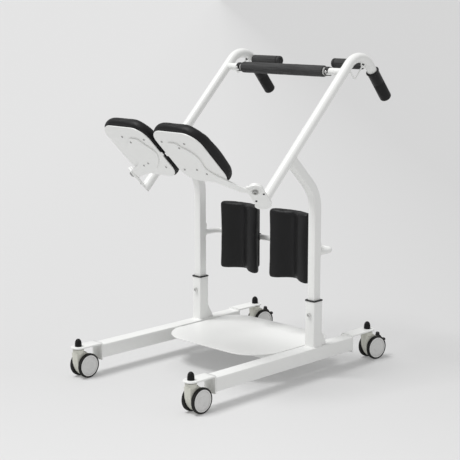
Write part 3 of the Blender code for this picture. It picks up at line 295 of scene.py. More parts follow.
def mesh_of(name, skins):
    """One mesh in metres from several closed skins, its arrays set whole."""
    offsets = np.cumsum([0] + [len(points) for points, _ in skins])
    points = np.concatenate([points for points, _ in skins]) * MM
    blocks = [block + start for (_, blocks), start in zip(skins, offsets) for block in blocks]
    corners = np.concatenate([block.ravel() for block in blocks])
    sizes = np.concatenate([np.full(len(block), block.shape[1]) for block in blocks])
    mesh = bpy.data.meshes.new(name)
    mesh.vertices.add(len(points))
    mesh.vertices.foreach_set("co", points.astype(np.float32).ravel())
    mesh.loops.add(len(corners))
    mesh.loops.foreach_set("vertex_index", corners.astype(np.int32))
    mesh.polygons.add(len(sizes))
    mesh.polygons.foreach_set("loop_start", (np.cumsum(sizes) - sizes).astype(np.int32))
    mesh.update(calc_edges=True)
    mesh.validate()
    return mesh


def linked(name, mesh):
    """A new object in the scene."""
    piece = bpy.data.objects.new(name, mesh)
    bpy.context.scene.collection.objects.link(piece)
    return piece


def fit(name, body, finish, node, *skins, crease=38):
    """A finished piece that rides on a body."""
    mesh = mesh_of(name, skins)
    mesh.shade_smooth()
    mesh.set_sharp_from_angle(angle=radians(crease))
    return dress(linked(name, mesh), body, finish, node)


def dress(piece, body, finish, node):
    """Gives a piece its finish, its body and the node that it stands for, if any."""
    piece.data.materials.clear()
    piece.data.materials.append(finish.material)
    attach(piece, body)
    if node:
        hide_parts(node)
    return piece


def yawed(skins, at, yaw):
    """Turns skins about the upright axis through a caster's swivel."""
    c, s = cos(yaw), sin(yaw)
    spin = np.array(((c, -s, 0), (s, c, 0), (0, 0, 1)))
    return [((points - at) @ spin.T + at, blocks) for points, blocks in skins]


# Finishes

def maths(operation, swap=False):
    """A method that adds the node for an operation on two values, or on the two swapped."""
    def method(self, other):
        first, second = (other, self) if swap else (self, other)
        return self.finish.node("ShaderNodeMath", {"operation": operation}, {0: first, 1: second})
    return method


class Value:
    """A shader socket that takes part in arithmetic; each operation adds the node for it."""

    def __init__(self, finish, socket):
        self.finish, self.socket = finish, socket

    __add__ = __radd__ = maths("ADD")
    __mul__ = __rmul__ = maths("MULTIPLY")
    __sub__, __rsub__, __pow__ = maths("SUBTRACT"), maths("SUBTRACT", True), maths("POWER")

    def clipped(self, low, high):
        """How far the value lies from low to high, held between 0 and 1."""
        return self.finish.node("ShaderNodeMapRange", {}, {0: self, 1: low, 2: high})


class Finish:
    """One finish of the chair: its shader, and the record slot that it belongs to."""

    def __init__(self, name, slot, colour, roughness, metallic=0.0, coat=0.0, specular=0.5):
        self.slot = slot
        self.material = bpy.data.materials.new(name)
        self.material.use_nodes = True
        self.tree = self.material.node_tree
        self.shader = self.tree.nodes["Principled BSDF"]
        self.set("Base Color", (*colour, 1.0))
        self.set("Roughness", roughness)
        self.set("Metallic", metallic)
        self.set("Coat Weight", coat)
        self.set("Coat Roughness", 0.12)
        self.set("Specular IOR Level", specular)
        self.where = self.node("ShaderNodeTexCoord", {}, {}, "Object")

    def set(self, socket, value):
        """A constant straight on the shader, or a link from a worked-out value."""
        self.feed(self.shader.inputs[socket], value)

    def feed(self, socket, value):
        if isinstance(value, Value):
            self.tree.links.new(value.socket, socket)
        else:
            socket.default_value = value

    def node(self, kind, settings, values, output=0):
        """Any node: its settings first, then its sockets' values or links, then its output."""
        made = self.tree.nodes.new(kind)
        for key, setting in settings.items():
            setattr(made, key, setting)
        for key, value in values.items():
            self.feed(made.inputs[key], value)
        return Value(self, made.outputs[output])

    def noise(self, scale, detail=3.0, rough=0.5, where=None):
        """Soft noise from 0 to 1 over the piece, scale in cells a metre."""
        values = {"Vector": where or self.where, "Scale": scale, "Detail": detail, "Roughness": rough}
        return self.node("ShaderNodeTexNoise", {}, values)

    def drawn(self, scale, stretch):
        """Noise drawn out along the second axis into fine lines."""
        values = {"Vector": self.where, "Scale": (1.0, stretch, 1.0)}
        return self.noise(scale, 3, 0.6, self.node("ShaderNodeMapping", {}, values))

    def cells(self, scale, feature="F1"):
        """Distance into the nearest grain cell, scale in cells a metre."""
        values = {"Vector": self.where, "Scale": scale}
        return self.node("ShaderNodeTexVoronoi", {"feature": feature}, values, "Distance")

    def blend(self, share, first, second):
        """The base colour, a share of the way from one colour to another."""
        values = {0: share, 6: (*first, 1.0), 7: (*second, 1.0)}
        self.set("Base Color", self.node("ShaderNodeMix", {"data_type": "RGBA"}, values, 2))

    def part(self, axis):
        """One of the piece's own coordinates, in metres."""
        return self.node("ShaderNodeSeparateXYZ", {}, {0: self.where}, axis)

    def relief(self, height, depth, strength):
        """Bumps of a height from 0 to 1, their depth in metres."""
        values = {"Height": height, "Distance": depth, "Strength": strength}
        self.set("Normal", self.node("ShaderNodeBump", {}, values))


def powder_coat(colour):
    """Satin white powder paint: a fine orange peel, faint thick and thin places."""
    coat = Finish("powder_coat", "white_powder_coat", colour, 0.34, coat=0.18)
    peel = coat.noise(620, 2, 0.4)
    coat.blend(coat.noise(9, 2), tuple(c * 0.965 for c in colour), colour)
    coat.set("Roughness", 0.30 + 0.10 * coat.noise(45))
    coat.relief(peel + 0.3 * coat.noise(1700, 1), 0.00006, 0.55)
    return coat


def pad_vinyl():
    """Black moulded skin of the cushions: a fine leather grain with a soft, uneven sheen."""
    vinyl = Finish("pad_vinyl", "black_vinyl", (0.010, 0.010, 0.011), 0.5, specular=0.26)
    pebble, crease, cloud = vinyl.cells(520), vinyl.cells(230, "DISTANCE_TO_EDGE"), vinyl.noise(14, 4)
    vinyl.blend(cloud, (0.005, 0.005, 0.0054), (0.010, 0.010, 0.0106))
    vinyl.set("Roughness", 0.42 + 0.16 * cloud)
    grain = crease.clipped(0.0, 0.10) * 0.6 + (1 - pebble) * 0.3 + vinyl.noise(900, 2) * 0.25
    vinyl.relief(grain, 0.00022, 0.6)
    return vinyl


def grip_foam():
    """Closed-cell foam sleeve: matt black with open pores, each painted darker in its middle as shade in the
    pit, and lines drawn along it.
    """
    foam = Finish("grip_foam", "black_rubber", (0.030,) * 3, 0.8)
    pore, lines = foam.cells(900), foam.drawn(260, 0.04).clipped(0.35, 0.65)
    # Painted shade: the colour darkens towards each pore's middle, where the bump dips; the lines drawn along
    # the foam are its own streaky tone.
    foam.blend(pore * 0.4 + lines * 0.6, (0.009,) * 3, (0.058, 0.058, 0.059))
    foam.set("Roughness", 0.62 + 0.2 * foam.noise(120))
    foam.relief(pore + 0.5 * foam.noise(300), 0.00025, 0.7)
    return foam


def moulded(name, slot, dark, light, roughness, scale, specular=0.5):
    """A moulded plastic or rubber: clouded colour, and the fine spark texture of its mould."""
    made = Finish(name, slot, light, roughness, specular=specular)
    made.blend(made.noise(scale / 6, 4), dark, light)
    made.set("Roughness", roughness - 0.06 + 0.12 * made.noise(scale))
    made.relief(made.noise(scale * 9, 3, 0.6), 0.0001, 0.5)
    return made


def tyre_rubber():
    """Tread rubber: dark, and dusty grey in patches where it has run on a floor."""
    tyre = Finish("tyre_rubber", "black_rubber", (0.012, 0.012, 0.0115), 0.7, specular=0.25)
    dust = (tyre.noise(70, 5) ** 3) * 1.6
    tyre.blend(dust.clipped(0.0, 1.0), (0.010, 0.010, 0.0095), (0.046, 0.045, 0.042))
    tyre.set("Roughness", 0.62 + 0.2 * tyre.noise(240))
    tyre.relief(tyre.noise(1100), 0.00012, 0.6)
    return tyre


def metal(name, colour, roughness, brush=900.0):
    """Plated or blackened steel with fine drawn lines and small changes in polish."""
    made = Finish(name, "bright_steel", colour, roughness, metallic=1.0)
    lines = made.drawn(brush, 0.05)
    made.blend(made.noise(60), tuple(c * 0.86 for c in colour), colour)
    made.set("Roughness", roughness - 0.05 + 0.12 * lines)
    made.relief(lines, 0.00003, 0.4)
    return made


POWDER = powder_coat((0.89, 0.895, 0.88))
VINYL = pad_vinyl()
FOAM = grip_foam()
GRIP = moulded("grip_rubber", "black_rubber", (0.007,) * 3, (0.012, 0.012, 0.0125), 0.42, 180, 0.22)
BUFFER = moulded("buffer_rubber", "black_rubber", (0.005,) * 3, (0.010,) * 3, 0.55, 220, 0.2)
NYLON = moulded("black_nylon", "black_rubber", (0.010,) * 3, (0.020, 0.020, 0.021), 0.45, 260, 0.35)
CASTER = moulded("caster_nylon", "caster_housing", (0.62, 0.62, 0.55), (0.72, 0.72, 0.65), 0.42, 240)
DISC = moulded("wheel_disc", "wheel_grey", (0.66, 0.66, 0.65), (0.74, 0.74, 0.73), 0.46, 200)
# Painted highlight: a lighter copy of the wheel's grey plastic for the raised lip, standing in for the light
# that the lip catches.
RIM_HIGHLIGHT = moulded("wheel_rim", "wheel_grey", (0.80, 0.80, 0.79), (0.86, 0.86, 0.85), 0.38, 200)
TYRE = tyre_rubber()
CHROME = metal("bright_plate", (0.74, 0.74, 0.73), 0.18)
ZINC = metal("zinc_plate", (0.50, 0.50, 0.49), 0.40, 500.0)
OXIDE = metal("black_oxide", (0.055, 0.055, 0.058), 0.38)


# Casters

def wheel_pair(place, sign, axle, at, yaw):
    """Tyre, rim and disc of each wheel, turned about the axle."""
    r, w = WHEEL_R, WHEEL_W
    # Painted shade: the tyre's black rubber runs over the inner side of each wheel, from the tread down to 12
    # mm from the axle, as a dark sheet standing in for the shade between the two wheels.
    tyre_with_shade_face = [(12, 1.4), (12, 0.4), (r - 2.2, 0.3), (r - 0.4, 1.6), (r, 3.4), (r - 0.1, 5), (r - 0.9, 5.5),
             (r - 0.1, 6), (r, 8.6), (r - 0.4, w - 1.8), (r - 1.8, w - 0.4), (r - 4.2, w - 0.3),
             (r - 6, w - 1), (r - 8.8, w - 4.2), (r - 8.8, 1.4)]
    lip = [(r - 8.8, w - 4.4), (r - 6.2, w - 3), (r - 6, w - 0.6), (r - 7.2, w - 0.1), (r - 8.4, w - 0.6)]
    dish = [(0, 1.6), (r - 9.2, 1.6), (r - 8.4, w - 3.4), (30, w - 2.4), (26.2, w - 1.9), (25.5, w - 1.4),
            (15, w - 1), (14.3, w - 1.4), (13.6, w - 1.4), (12.8, w - 0.7), (7, w - 0.3), (0, w)]
    for which, way in (("outer", sign), ("inner", -sign)):
        out = LEFT * way
        foot = axle + out * CASTER_WEB / 2
        for name, finish, shape in (("tyre", TYRE, turned(tyre_with_shade_face, foot, out, 72, True, 0.6)),
                                    ("wheel_rim", RIM_HIGHLIGHT, turned(lip, foot, out, 64, True, 0.4)),
                                    ("wheel_disc", DISC, turned(dish, foot, out, 64, ease=0.8))):
            fit(f"{name}_{place}_{which}", f"roll_{place}_{which}", finish, f"wheel_{place}_{which}",
                *yawed([shape], at, yaw))


def caster_body(place, at, axle, yaw):
    """Round head over a web that fans out between the wheels, and the swivel race above it."""
    web_r, half, reach = WHEEL_R - 3, CASTER_WEB / 2 - 0.6, HEAD_R - 1
    shoulder = HEAD_BASE_Z + 3 - WHEEL_R
    web = [(reach - CASTER_TRAIL, shoulder), (-CASTER_TRAIL - reach, shoulder), (-38.5, 10), (-34.5, -4),
           (-27, -18), (-15, -30), *arc((0, 0), web_r, radians(311), radians(420), 26)]
    head_h = HEAD_TOP_Z - HEAD_BASE_Z
    head = [(0, -4), (HEAD_R - 3, -4), (HEAD_R, 0.5), (HEAD_R, head_h - 0.8), (HEAD_R - 1.2, head_h),
            (0, head_h)]
    edge_x = -web_r * 0.985
    brow = bent([(edge_x - 2.2, 0, 20), (edge_x - 0.3, 0, 7.5), (edge_x + 4, 0, -6)], [20]) + axle
    skins = [slab((axle, FORWARD, UP, -LEFT), web, -half, half, 2.2, 5),
             turned(head, at + UP * HEAD_BASE_Z, UP, 64, ease=1),
             swept(brow, circle(1.6, 12), LEFT)]
    fit(f"caster_body_{place}", f"caster_{place}", CASTER, f"housing_{place}", *yawed(skins, at, yaw))
    race = [(12.5, 0), (HEAD_R - 0.6, 0), (HEAD_R, 0.6), (HEAD_R, 2.4), (HEAD_R - 0.6, 3), (12.5, 3)]
    fit(f"swivel_race_{place}", "base", CHROME, None,
        turned(race, at + UP * (TONGUE_TOP_Z - TONGUE_T - 3), UP, 64, True))


def caster_plate(place, end, at):
    """End plate over the leg and the round tongue that the caster turns under."""
    face_x, way = (LEG_X[0], -1) if end == "entry" else (LEG_X[1], 1)
    away = FORWARD * way
    face = (face_x + way * GAP, at[1], 0.0)
    under, half_h = TONGUE_TOP_Z - TONGUE_T, (TONGUE_TOP_Z - LEG_LOW_Z + 6) / 2
    reach, r = abs(at[0] - face[0]), LEG_W / 2
    tongue = [(1, -r), *arc((reach, 0), r, -QUARTER, QUARTER, 36), (1, r)]
    neck = [(0, -12), (5.5, -12), (5.8, -3.5), (12.2, -3), (12.2, 1), (0, 1)]
    seam = np.linspace(2 - r, r - 2, 40)[:, None] * LEFT + face + UP * under + away * 5.2
    fit(f"caster_plate_{place}", "base", POWDER, f"caster_bracket_{place}",
        slab((face + UP * (TONGUE_TOP_Z - half_h), LEFT, UP, away), rounded_box(r + 0.5, half_h, 3),
             0, 5, 1.2),
        slab((face + UP * under, away, LEFT, UP), tongue, 0, TONGUE_T, 1.1),
        turned(neck, at + UP * under, UP, 48),
        swept(seam, circle(1.3, 10), UP))


def buffer(place, at):
    """Domed rubber buffer: radius 0.94 r cos t at height h (0.42 + 0.58 sin t)."""
    r, h = 11.25, 25
    t = np.radians(np.linspace(6, 90, 15))
    dome = np.stack([r * 0.94 * np.cos(t), h * (0.42 + 0.58 * np.sin(t))], -1)
    dome[-1, 0] = 0
    skirt = [(0, 0), (r - 0.8, 0), (r, 0.9), (r, 2.2), (r * 0.975, 3), (r * 0.97, h * 0.3)]
    fit(f"buffer_{place}", "base", BUFFER, f"bumper_{place}",
        turned([*skirt, *dome], at + UP * (TONGUE_TOP_Z + GAP), UP, 48), crease=50)


def brake(side, axle, at, yaw):
    """Rocking pedal: an arched strip between the wheels, a knob on top, a toe tab in front, its web."""
    inner, outer, toe_reach = 44.0, 47.0, 54.5
    low, high = radians(14), radians(63)
    side_on = (axle, FORWARD, UP, -LEFT)
    arch = [*arc((0, 0), inner, high, low, 24), *arc((0, 0), outer, low, high, 24)]
    skins = [slab(side_on, arch, -6, 6, 1.2)]
    for turn, reach, size, half in ((low + 0.07, toe_reach, 5.2, 6.5),
                                    (high - 0.06, outer + 0.4, 5.6, 6.8)):
        end = [(0, 1), (size * 0.38, 1), (size * 0.44, 0.3), (size - 2.4, 0.4), (size - 0.7, 1.8), (size, 4)]
        roll = end + [(r, 2 * half - h) for r, h in end[::-1]]
        skins.append(turned(roll, laid(side_on, reach * spoke(turn), half)[0], LEFT, 40, ease=1))
    toe = [r * spoke(low + turn) for r, turn in ((inner + 1, 0.01), (toe_reach, 0), (toe_reach, 0.13),
                                                 (inner + 1, 0.24))]
    skins.append(slab(side_on, eased(toe, 1, 3), -5.5, 5.5))
    pivot = radians(57)
    web = [*arc(34 * spoke(pivot), 4.7, pivot + radians(100), pivot + radians(260), 14),
           *arc((0, 0), 45, pivot - 0.24, pivot + 0.15, 8)]
    skins.append(slab(side_on, web, -4, 4, 0.6))
    fit(f"brake_lever_{side}", f"pedal_{side}", NYLON, f"brake_pedal_{side}", *yawed(skins, at, yaw))


def casters():
    for end, x in CASTER_X.items():
        for side, sign in SIDES.items():
            place, yaw = f"{end}_{side}", CASTER_YAW[end]
            at = (x, sign * HALF_TRACK, 0.0)
            axle = at + FORWARD * CASTER_TRAIL + UP * WHEEL_R
            wheel_pair(place, sign, axle, at, yaw)
            caster_body(place, at, axle, yaw)
            caster_plate(place, end, at)
            buffer(place, at)
            if end == "front":
                brake(side, axle, at, yaw)


# Base

def rails():
    """Side rails, and the cross members that carry the step between them."""
    mid_z, half_h = (LEG_LOW_Z + LEG_TOP_Z) / 2, (LEG_TOP_Z - LEG_LOW_Z) / 2
    for side, sign in SIDES.items():
        run = np.array([(x, sign * HALF_TRACK, mid_z) for x in np.linspace(*LEG_X, 3)])
        fit(f"side_rail_{side}", "base", POWDER, f"leg_{side}",
            swept(run, rounded_box(half_h, LEG_W / 2, 4), LEFT))
    half, level = HALF_TRACK - LEG_W / 2 - GAP, STEP_TOP_Z - STEP_T - GAP - 13
    for end, x in CROSS_X.items():
        run = np.array([(x, y, level) for y in np.linspace(-half, half, 3)])
        welds = [box_bead((run[1] + LEFT * sign * half, FORWARD, UP, LEFT * sign), 15, 12.5, 3)
                 for sign in SIDES.values()]
        fit(f"cross_member_{end}", "base", POWDER, f"cross_tube_{end}",
            swept(run, rounded_box(15, 13, 3), UP), *welds)


def step_plate():
    """Step with round corners of 115 mm at the entry and 75 mm at the front; its ends bow by 5 mm."""
    half, bow, back_r, front_r = HALF_TRACK - LEG_W / 2 - 8, 5, 115, 75
    back, front = STEP_X
    line = np.concatenate([arc((front - front_r, half - front_r), front_r, 0, QUARTER, 24),
                           arc((back + back_r, half - back_r), back_r, QUARTER, pi, 30),
                           arc((back + back_r, back_r - half), back_r, pi, 3 * QUARTER, 30),
                           arc((front - front_r, front_r - half), front_r, 3 * QUARTER, 4 * QUARTER, 24)])
    past_mid = line[:, 0] - (front + back) / 2
    line[:, 0] -= np.sign(past_mid) * bow * (np.abs(line[:, 1]) / half) ** 2 * (np.abs(past_mid) > 100)
    fit("step_plate", "base", POWDER, "footplate",
        slab(((0, 0, 0), FORWARD, LEFT, UP), line, STEP_TOP_Z - STEP_T, STEP_TOP_Z, 1.4, 4))


def sleeve(side, at):
    """Sleeve with its gusset and foot weld, the guide ring in its mouth and the clamp screw."""
    stand, low, high = (at, FORWARD, LEFT, UP), LEG_TOP_Z + GAP, SLEEVE_TOP_Z
    level, bore = rounded_box(SLEEVE_HALF, SLEEVE_HALF, 4), rounded_box(17, 17, 1.5)
    walls = [laid(stand, level, low), laid(stand, level, high - 0.8), laid(stand, inset(level, 0.8), high),
             laid(stand, bore, high), laid(stand, bore, low)]
    wedge = eased([(19, 0), (47, 0), (47, 4), (21, 50), (19, 50)], 1.5, 3)
    foot = at + UP * low
    fit(f"upright_sleeve_{side}", "base", POWDER, f"sleeve_{side}", skin(walls, wrap=True),
        slab((foot, FORWARD, UP, -LEFT), wedge, -15, 15, 1),
        box_bead((foot, FORWARD, LEFT, UP), SLEEVE_HALF, SLEEVE_HALF, 4, 1.4))
    neck, flange, inner = rounded_box(16.6, 16.6, 1.5), rounded_box(21.5, 21.5, 5), rounded_box(15.3, 15.3, 3)
    rim = [laid(stand, inset(flange, d), high + GAP + h) for d, h in ((0.4, 0), (0, 0.4), (0, 3.4), (0.6, 4))]
    rows = [laid(stand, neck, high - 21), laid(stand, neck, high + GAP), *rim,
            laid(stand, inner, high + 4.3), laid(stand, inner, high - 21)]
    fit(f"guide_ring_{side}", "base", NYLON, f"collar_{side}", skin(rows, wrap=True))
    screw = [(0, 0), (4, 0), (4, 5), (7, 5.2), (7, 9.6), (6.2, 11), (3.6, 11.2), (3.4, 8.5), (0, 8.5)]
    fit(f"clamp_screw_{side}", "base", CHROME, f"lock_screw_{side}",
        turned(screw, at + UP * LOCK_Z - FORWARD * (MAST_HALF + GAP), -FORWARD, 36))


def mast(side, at):
    """Square bar that slides in the sleeve and bends back to its weld under the push tube."""
    line_sum = UPRIGHT_X + MAST_CORNER_Z
    end = ((line_sum - TUBE_RISE) / 2, at[1], (line_sum + TUBE_RISE) / 2)
    run = bent([at + UP * (LEG_TOP_Z + GAP), at + UP * MAST_CORNER_Z, end], [MAST_BEND_R], 36)
    fine = finer(rounded_box(MAST_HALF, MAST_HALF, 3, 4), 9).reshape(-1, 2)
    fit(f"mast_bar_{side}", "upper_frame", POWDER, f"mast_{side}",
        swept(run, rounded_box(MAST_HALF, MAST_HALF, 3), LEFT),
        saddle_bead(end, TUBE_R, NORMAL, SLOPE, fine, 1.4))


# Push handles

def hub(sign):
    """A hub's own axes: its middle, down the slope, outward across it, and along its hinge."""
    centre = (HUB_X, sign * HUB_Y, HUB_Z)
    outer = LEFT * sign
    across = outer * cos(HUB_TILT) + NORMAL * sin(HUB_TILT)
    hinge = NORMAL * cos(HUB_TILT) - outer * sin(HUB_TILT)
    return centre, SLOPE, across, hinge


def grip_start(y):
    """Upper end of a hand grip, on the line that falls through GRIP_LINE."""
    return GRIP_TOP_X, y, GRIP_LINE[1] - tan(HOOK_DOWN) * (GRIP_TOP_X - GRIP_LINE[0])


def egg():
    """Outline of the hub plate: two circles joined by their common tangents."""
    reach, tilt = hypot(*HUB_END_AT), atan2(HUB_END_AT[1], HUB_END_AT[0])
    lean = asin((HUB_R - HUB_END_R) / reach)
    return [*arc(HUB_END_AT, HUB_END_R, tilt - QUARTER + lean, tilt + QUARTER - lean, 32),
            *arc((0, 0), HUB_R, tilt + QUARTER - lean, tilt + 3 * QUARTER + lean, 40)]


def push_handle(side, sign):
    """Round tube from the hub over its hook, with the stubs and hook wire welded to it."""
    y, inward, t = sign * HALF_TRACK, -LEFT * sign, HUB_PLATE_T
    centre, _, _, hinge = place = hub(sign)
    middle = (HUB_X + HUB_Z) / 2
    foot = (middle - TUBE_RISE / 2, y, middle + TUBE_RISE / 2)
    fall = tan(HOOK_DOWN)
    apex_x = (GRIP_LINE[1] + fall * GRIP_LINE[0] - TUBE_RISE) / (1 + fall)
    end = grip_start(y) + GRIP_AXIS * (GRIP_L - 13)
    run = bent([foot, (apex_x, y, apex_x + TUBE_RISE), end], [HOOK_R], 48)
    boss = [(0, 0), (18, 0), (18, t), (17.4, t + 1.6), (16, t + 2), (14.2, t + 2), (13.6, t + 0.3),
            (11.6, t + 0.3), (11.2, t + 1.8), (0, t + 1.8)]
    ear = [(0, 0), (4.4, 0), (5, 0.6), (5, 6.4), (4.4, 7), (0, 7)]
    bar_at, grip_at = (BAR_X, y, BAR_Z), (SIDE_GRIP_AT[0], y, SIDE_GRIP_AT[1])
    r, socket_l, stub_l = BAR_TUBE_R, HALF_TRACK - BAR_HALF, HALF_TRACK - SIDE_GRIP_Y[0] - 6
    socket = [(0, 5), (r, 5), (r, socket_l - 1.2), (r - 1, socket_l), (0, socket_l)]
    hook = np.array([(x, y, z) for x, z in STRAP_HOOK])
    fit(f"push_tube_{side}", "upper_frame", POWDER, f"handle_tube_{side}",
        swept(run, circle(TUBE_R, 48), LEFT, foot=(centre - hinge * 5, hinge)),
        slab(place, egg(), -t, 0, 1.6, 4),
        turned(boss, centre, -hinge, 64),
        turned(ear, laid(place, 26 * spoke(radians(217)))[0], -hinge, 28),
        turned(socket, bar_at, inward, 48),
        turned([(0, 2), (12.5, 2), (12.5, stub_l), (0, stub_l)], grip_at, inward, 40),
        swept(bent(hook, [6], 10), circle(2.5, 16), LEFT),
        saddle_bead(bar_at, TUBE_R, NORMAL, inward, circle(r, 90)))
    tip = [(0, -2.8), (3, -2.8), (4.2, -1.6), (4.2, 5.8), (2.8, 7.8), (0, 8.2)]
    rise = unit(hook[2] - hook[1])
    fit(f"hook_tip_{side}", "upper_frame", NYLON, None, turned(tip, hook[2] - rise * 7.5, rise, 28))


def push_grip(side, sign):
    """Smooth rubber grip: a rolled lip, a plain barrel and a domed end with a drain hole."""
    r, lip, length = 19.5, 22, GRIP_L - 7
    profile = [(16.3, 0), (lip - 1, 0), (lip, 1), (lip, 3.8), (lip - 1, 5), (r + 0.4, 5.6), (r, 7), (r, 50),
               (r - 0.2, 50.5), (r, 51), *arc((r - 9, length - 9), 9, 0, QUARTER, 9), (5, length),
               (4.2, length - 0.8), (4, length - 6), (16.3, length - 6.2)]
    start = grip_start(sign * HALF_TRACK) + GRIP_AXIS * 4
    fit(f"push_grip_{side}", "upper_frame", GRIP, f"hand_grip_{side}",
        turned(profile, start, GRIP_AXIS, 56, True), crease=50)


def inboard_grip(side, sign):
    """Foam sleeve on the inboard stub, with a ringed cap let into its end."""
    start = (SIDE_GRIP_AT[0], sign * SIDE_GRIP_Y[1], SIDE_GRIP_AT[1])
    inward, length, r = -LEFT * sign, SIDE_GRIP_Y[1] - SIDE_GRIP_Y[0], 16.5
    profile = [(12.8, 0), (r - 3, 0), (r - 0.8, 1.2), (r, 4), (r, length - 12.2), (r - 2.1, length - 11.4),
               (r - 2.1, length - 9.6), (r, length - 8.8), *arc((r - 4, length - 4), 4, 0, QUARTER, 7),
               (9.8, length), (9.2, length - 1.5), (9.2, length - 4), (12.8, length - 5.2)]
    foam = fit(f"inboard_grip_{side}", "upper_frame", FOAM, f"side_grip_{side}",
               turned(profile, start, inward, 48, True), crease=50)
    cap = [(0, -4), (9, -4), (9, -1.2), (8.2, -0.4), (6.6, -0.4), (6.1, -1.1), (4.6, -1.1), (4.1, -0.4),
           (0, -0.2)]
    fit(f"inboard_cap_{side}", "upper_frame", NYLON, None, turned(cap, start + inward * length, inward, 48))


def sector(inner, outer, low, high):
    """Outline of part of a ring: the outer arc from low to high degrees, and the inner one back."""
    turn = np.radians((low, high))
    return [*arc((0, 0), outer, *turn, 28), *arc((0, 0), inner, *turn[::-1], 28)]


def crossbar():
    """Foam-sheathed bar with a bright ring at each end, its spring clips and snap buttons."""
    half, at = BAR_HALF - GAP, (BAR_X, 0.0, BAR_Z)
    fit("bar_core", "upper_frame", CHROME, "crossbar_tube",
        turned([(0, -half), (10.5, -half), (10.5, half), (0, half)], at, LEFT, 40))
    r, foam_half = 18.5, half - 3
    end = [(10.8, foam_half), (r - 3.5, foam_half), (r - 1, foam_half - 1.2), (r, foam_half - 4.5)]
    along = np.linspace(6 - foam_half, foam_half - 6, 60)
    swell = r + 0.18 * np.sin(along * 0.130) * np.cos(along * 0.047)
    profile = [*((a, -h) for a, h in end), *zip(swell, along), *end[::-1]]
    foam = fit("bar_foam", "upper_frame", FOAM, "crossbar_foam", turned(profile, at, LEFT, 56, True),
               crease=50)
    ring = [(10.8, foam_half + GAP), (14.4, foam_half + GAP), (14.9, foam_half + 0.8), (14.9, half - 0.5),
            (14.4, half), (10.8, half)]
    clip_l = 18
    button = [(0, 0), (4.5, 0), *arc((3, 8), 1.5, 0, QUARTER, 8), (0, 9.7)]
    for side, sign in SIDES.items():
        out = LEFT * sign
        fit(f"bar_ring_{side}", "upper_frame", CHROME, None, turned(ring, at, out, 56, True))
        start = at + out * (BAR_HALF + 4)
        round_bar = (start, -FORWARD, UP, out)
        fit(f"bar_clip_{side}", "upper_frame", NYLON, f"crossbar_clip_{side}",
            slab(round_bar, sector(12.3, 14.6, -118, 118), 0, 3.4, 0.5, 2),
            slab(round_bar, sector(12.3, 15.4, -20, 92), 1.8, 13.8),
            slab(round_bar, sector(12.3, 14, 88, 114), 1, clip_l, 0.4, 2),
            slab(round_bar, sector(12.3, 14, -104, -76), 1, clip_l, 0.4, 2))
        seat = start + out * clip_l / 2 - FORWARD * (BAR_TUBE_R - 4)
        fit(f"snap_button_{side}", f"button_{side}", CHROME, f"crossbar_button_{side}",
            turned(button, seat, -FORWARD, 32))


# Knee support

def knee_support():
    """Rod bent in a wide U, a bolted plate on each mast, boards with saddles behind the pads."""
    face, y = UPRIGHT_X + MAST_HALF + GAP, HALF_TRACK
    near, far = face + 2, KNEE_RUN_X
    corners = [(near, y, KNEE_Z), (far, y, KNEE_Z), (far, -y, KNEE_Z), (near, -y, KNEE_Z)]
    skins = [swept(bent(corners, [30, 30]), circle(KNEE_ROD_R, 36), UP)]
    washer = [(0, 0), (6.5, 0), (6.5, 2.4), (6, 2.8), (0, 2.8)]
    mid_y, mid_z, half_z = sum(KNEE_Y) / 2, sum(KNEE_SPAN_Z) / 2, (KNEE_SPAN_Z[1] - KNEE_SPAN_Z[0]) / 2
    r = KNEE_ROD_R + GAP
    hoop = [(-r - 2, -22), (3 - r, -22), (3 - r, -r - 3),
            *arc((0, 0), r + 3, -0.9 * QUARTER, 0.9 * QUARTER, 20),
            (3 - r, r + 3), (3 - r, 22), (-r - 2, 22), *arc((0, 0), r, QUARTER, -QUARTER, 20)]
    for side, sign in SIDES.items():
        plate_at, rod_end, head_at = [((face + ahead, sign * y, z), LEFT, UP, FORWARD)
                                      for ahead, z in ((0, 415), (4, KNEE_Z), (2.5, 426))]
        skins.append(slab(plate_at, rounded_box(13, 23, 4), 0, 4, 0.9))
        skins.append(bead(laid(rod_end, circle(KNEE_ROD_R, 60)), np.tile(FORWARD, (60, 1))))
        fit(f"knee_bolt_{side}", "upper_frame", OXIDE, None, turned(washer, head_at[0], FORWARD, 32),
            slab(head_at, circle(6.2, 6), 2, 8.5, 0.6))
        board_at = ((180, sign * mid_y, mid_z), LEFT, UP, FORWARD)
        saddles = [((KNEE_RUN_X, sign * (mid_y + offset), KNEE_Z), FORWARD, UP, -LEFT)
                   for offset in (-40, 40)]
        fit(f"knee_board_{side}", "upper_frame", NYLON, f"knee_shell_{side}",
            slab(board_at, rounded_box(60, half_z - 14, 12), 0, 4, 1),
            *[slab(saddle, hoop, -9, 9, 0.4) for saddle in saddles])
    fit("knee_rod", "upper_frame", POWDER, "knee_bar", *skins)


# Seat halves

def seat_place(sign):
    """Axes of a seat half: down its slope, outward from the middle, and up from its face."""
    return SEAT_MIDDLE, SLOPE, LEFT * sign, NORMAL


def tray_outline(grow):
    """Rounded rectangle whose outer side bows 4 mm: w + 4 (w / half) (1 - (s / half s)^2)."""
    s, w = rounded_box(TRAY_HALF_S + grow, TRAY_HALF_W + grow, TRAY_R + grow, 20).T
    bow = 4 * (w / TRAY_HALF_W) * np.maximum(0, 1 - (s / TRAY_HALF_S) ** 2) * (w > 0)
    return np.stack([s, w + bow + TRAY_MID_W], -1)


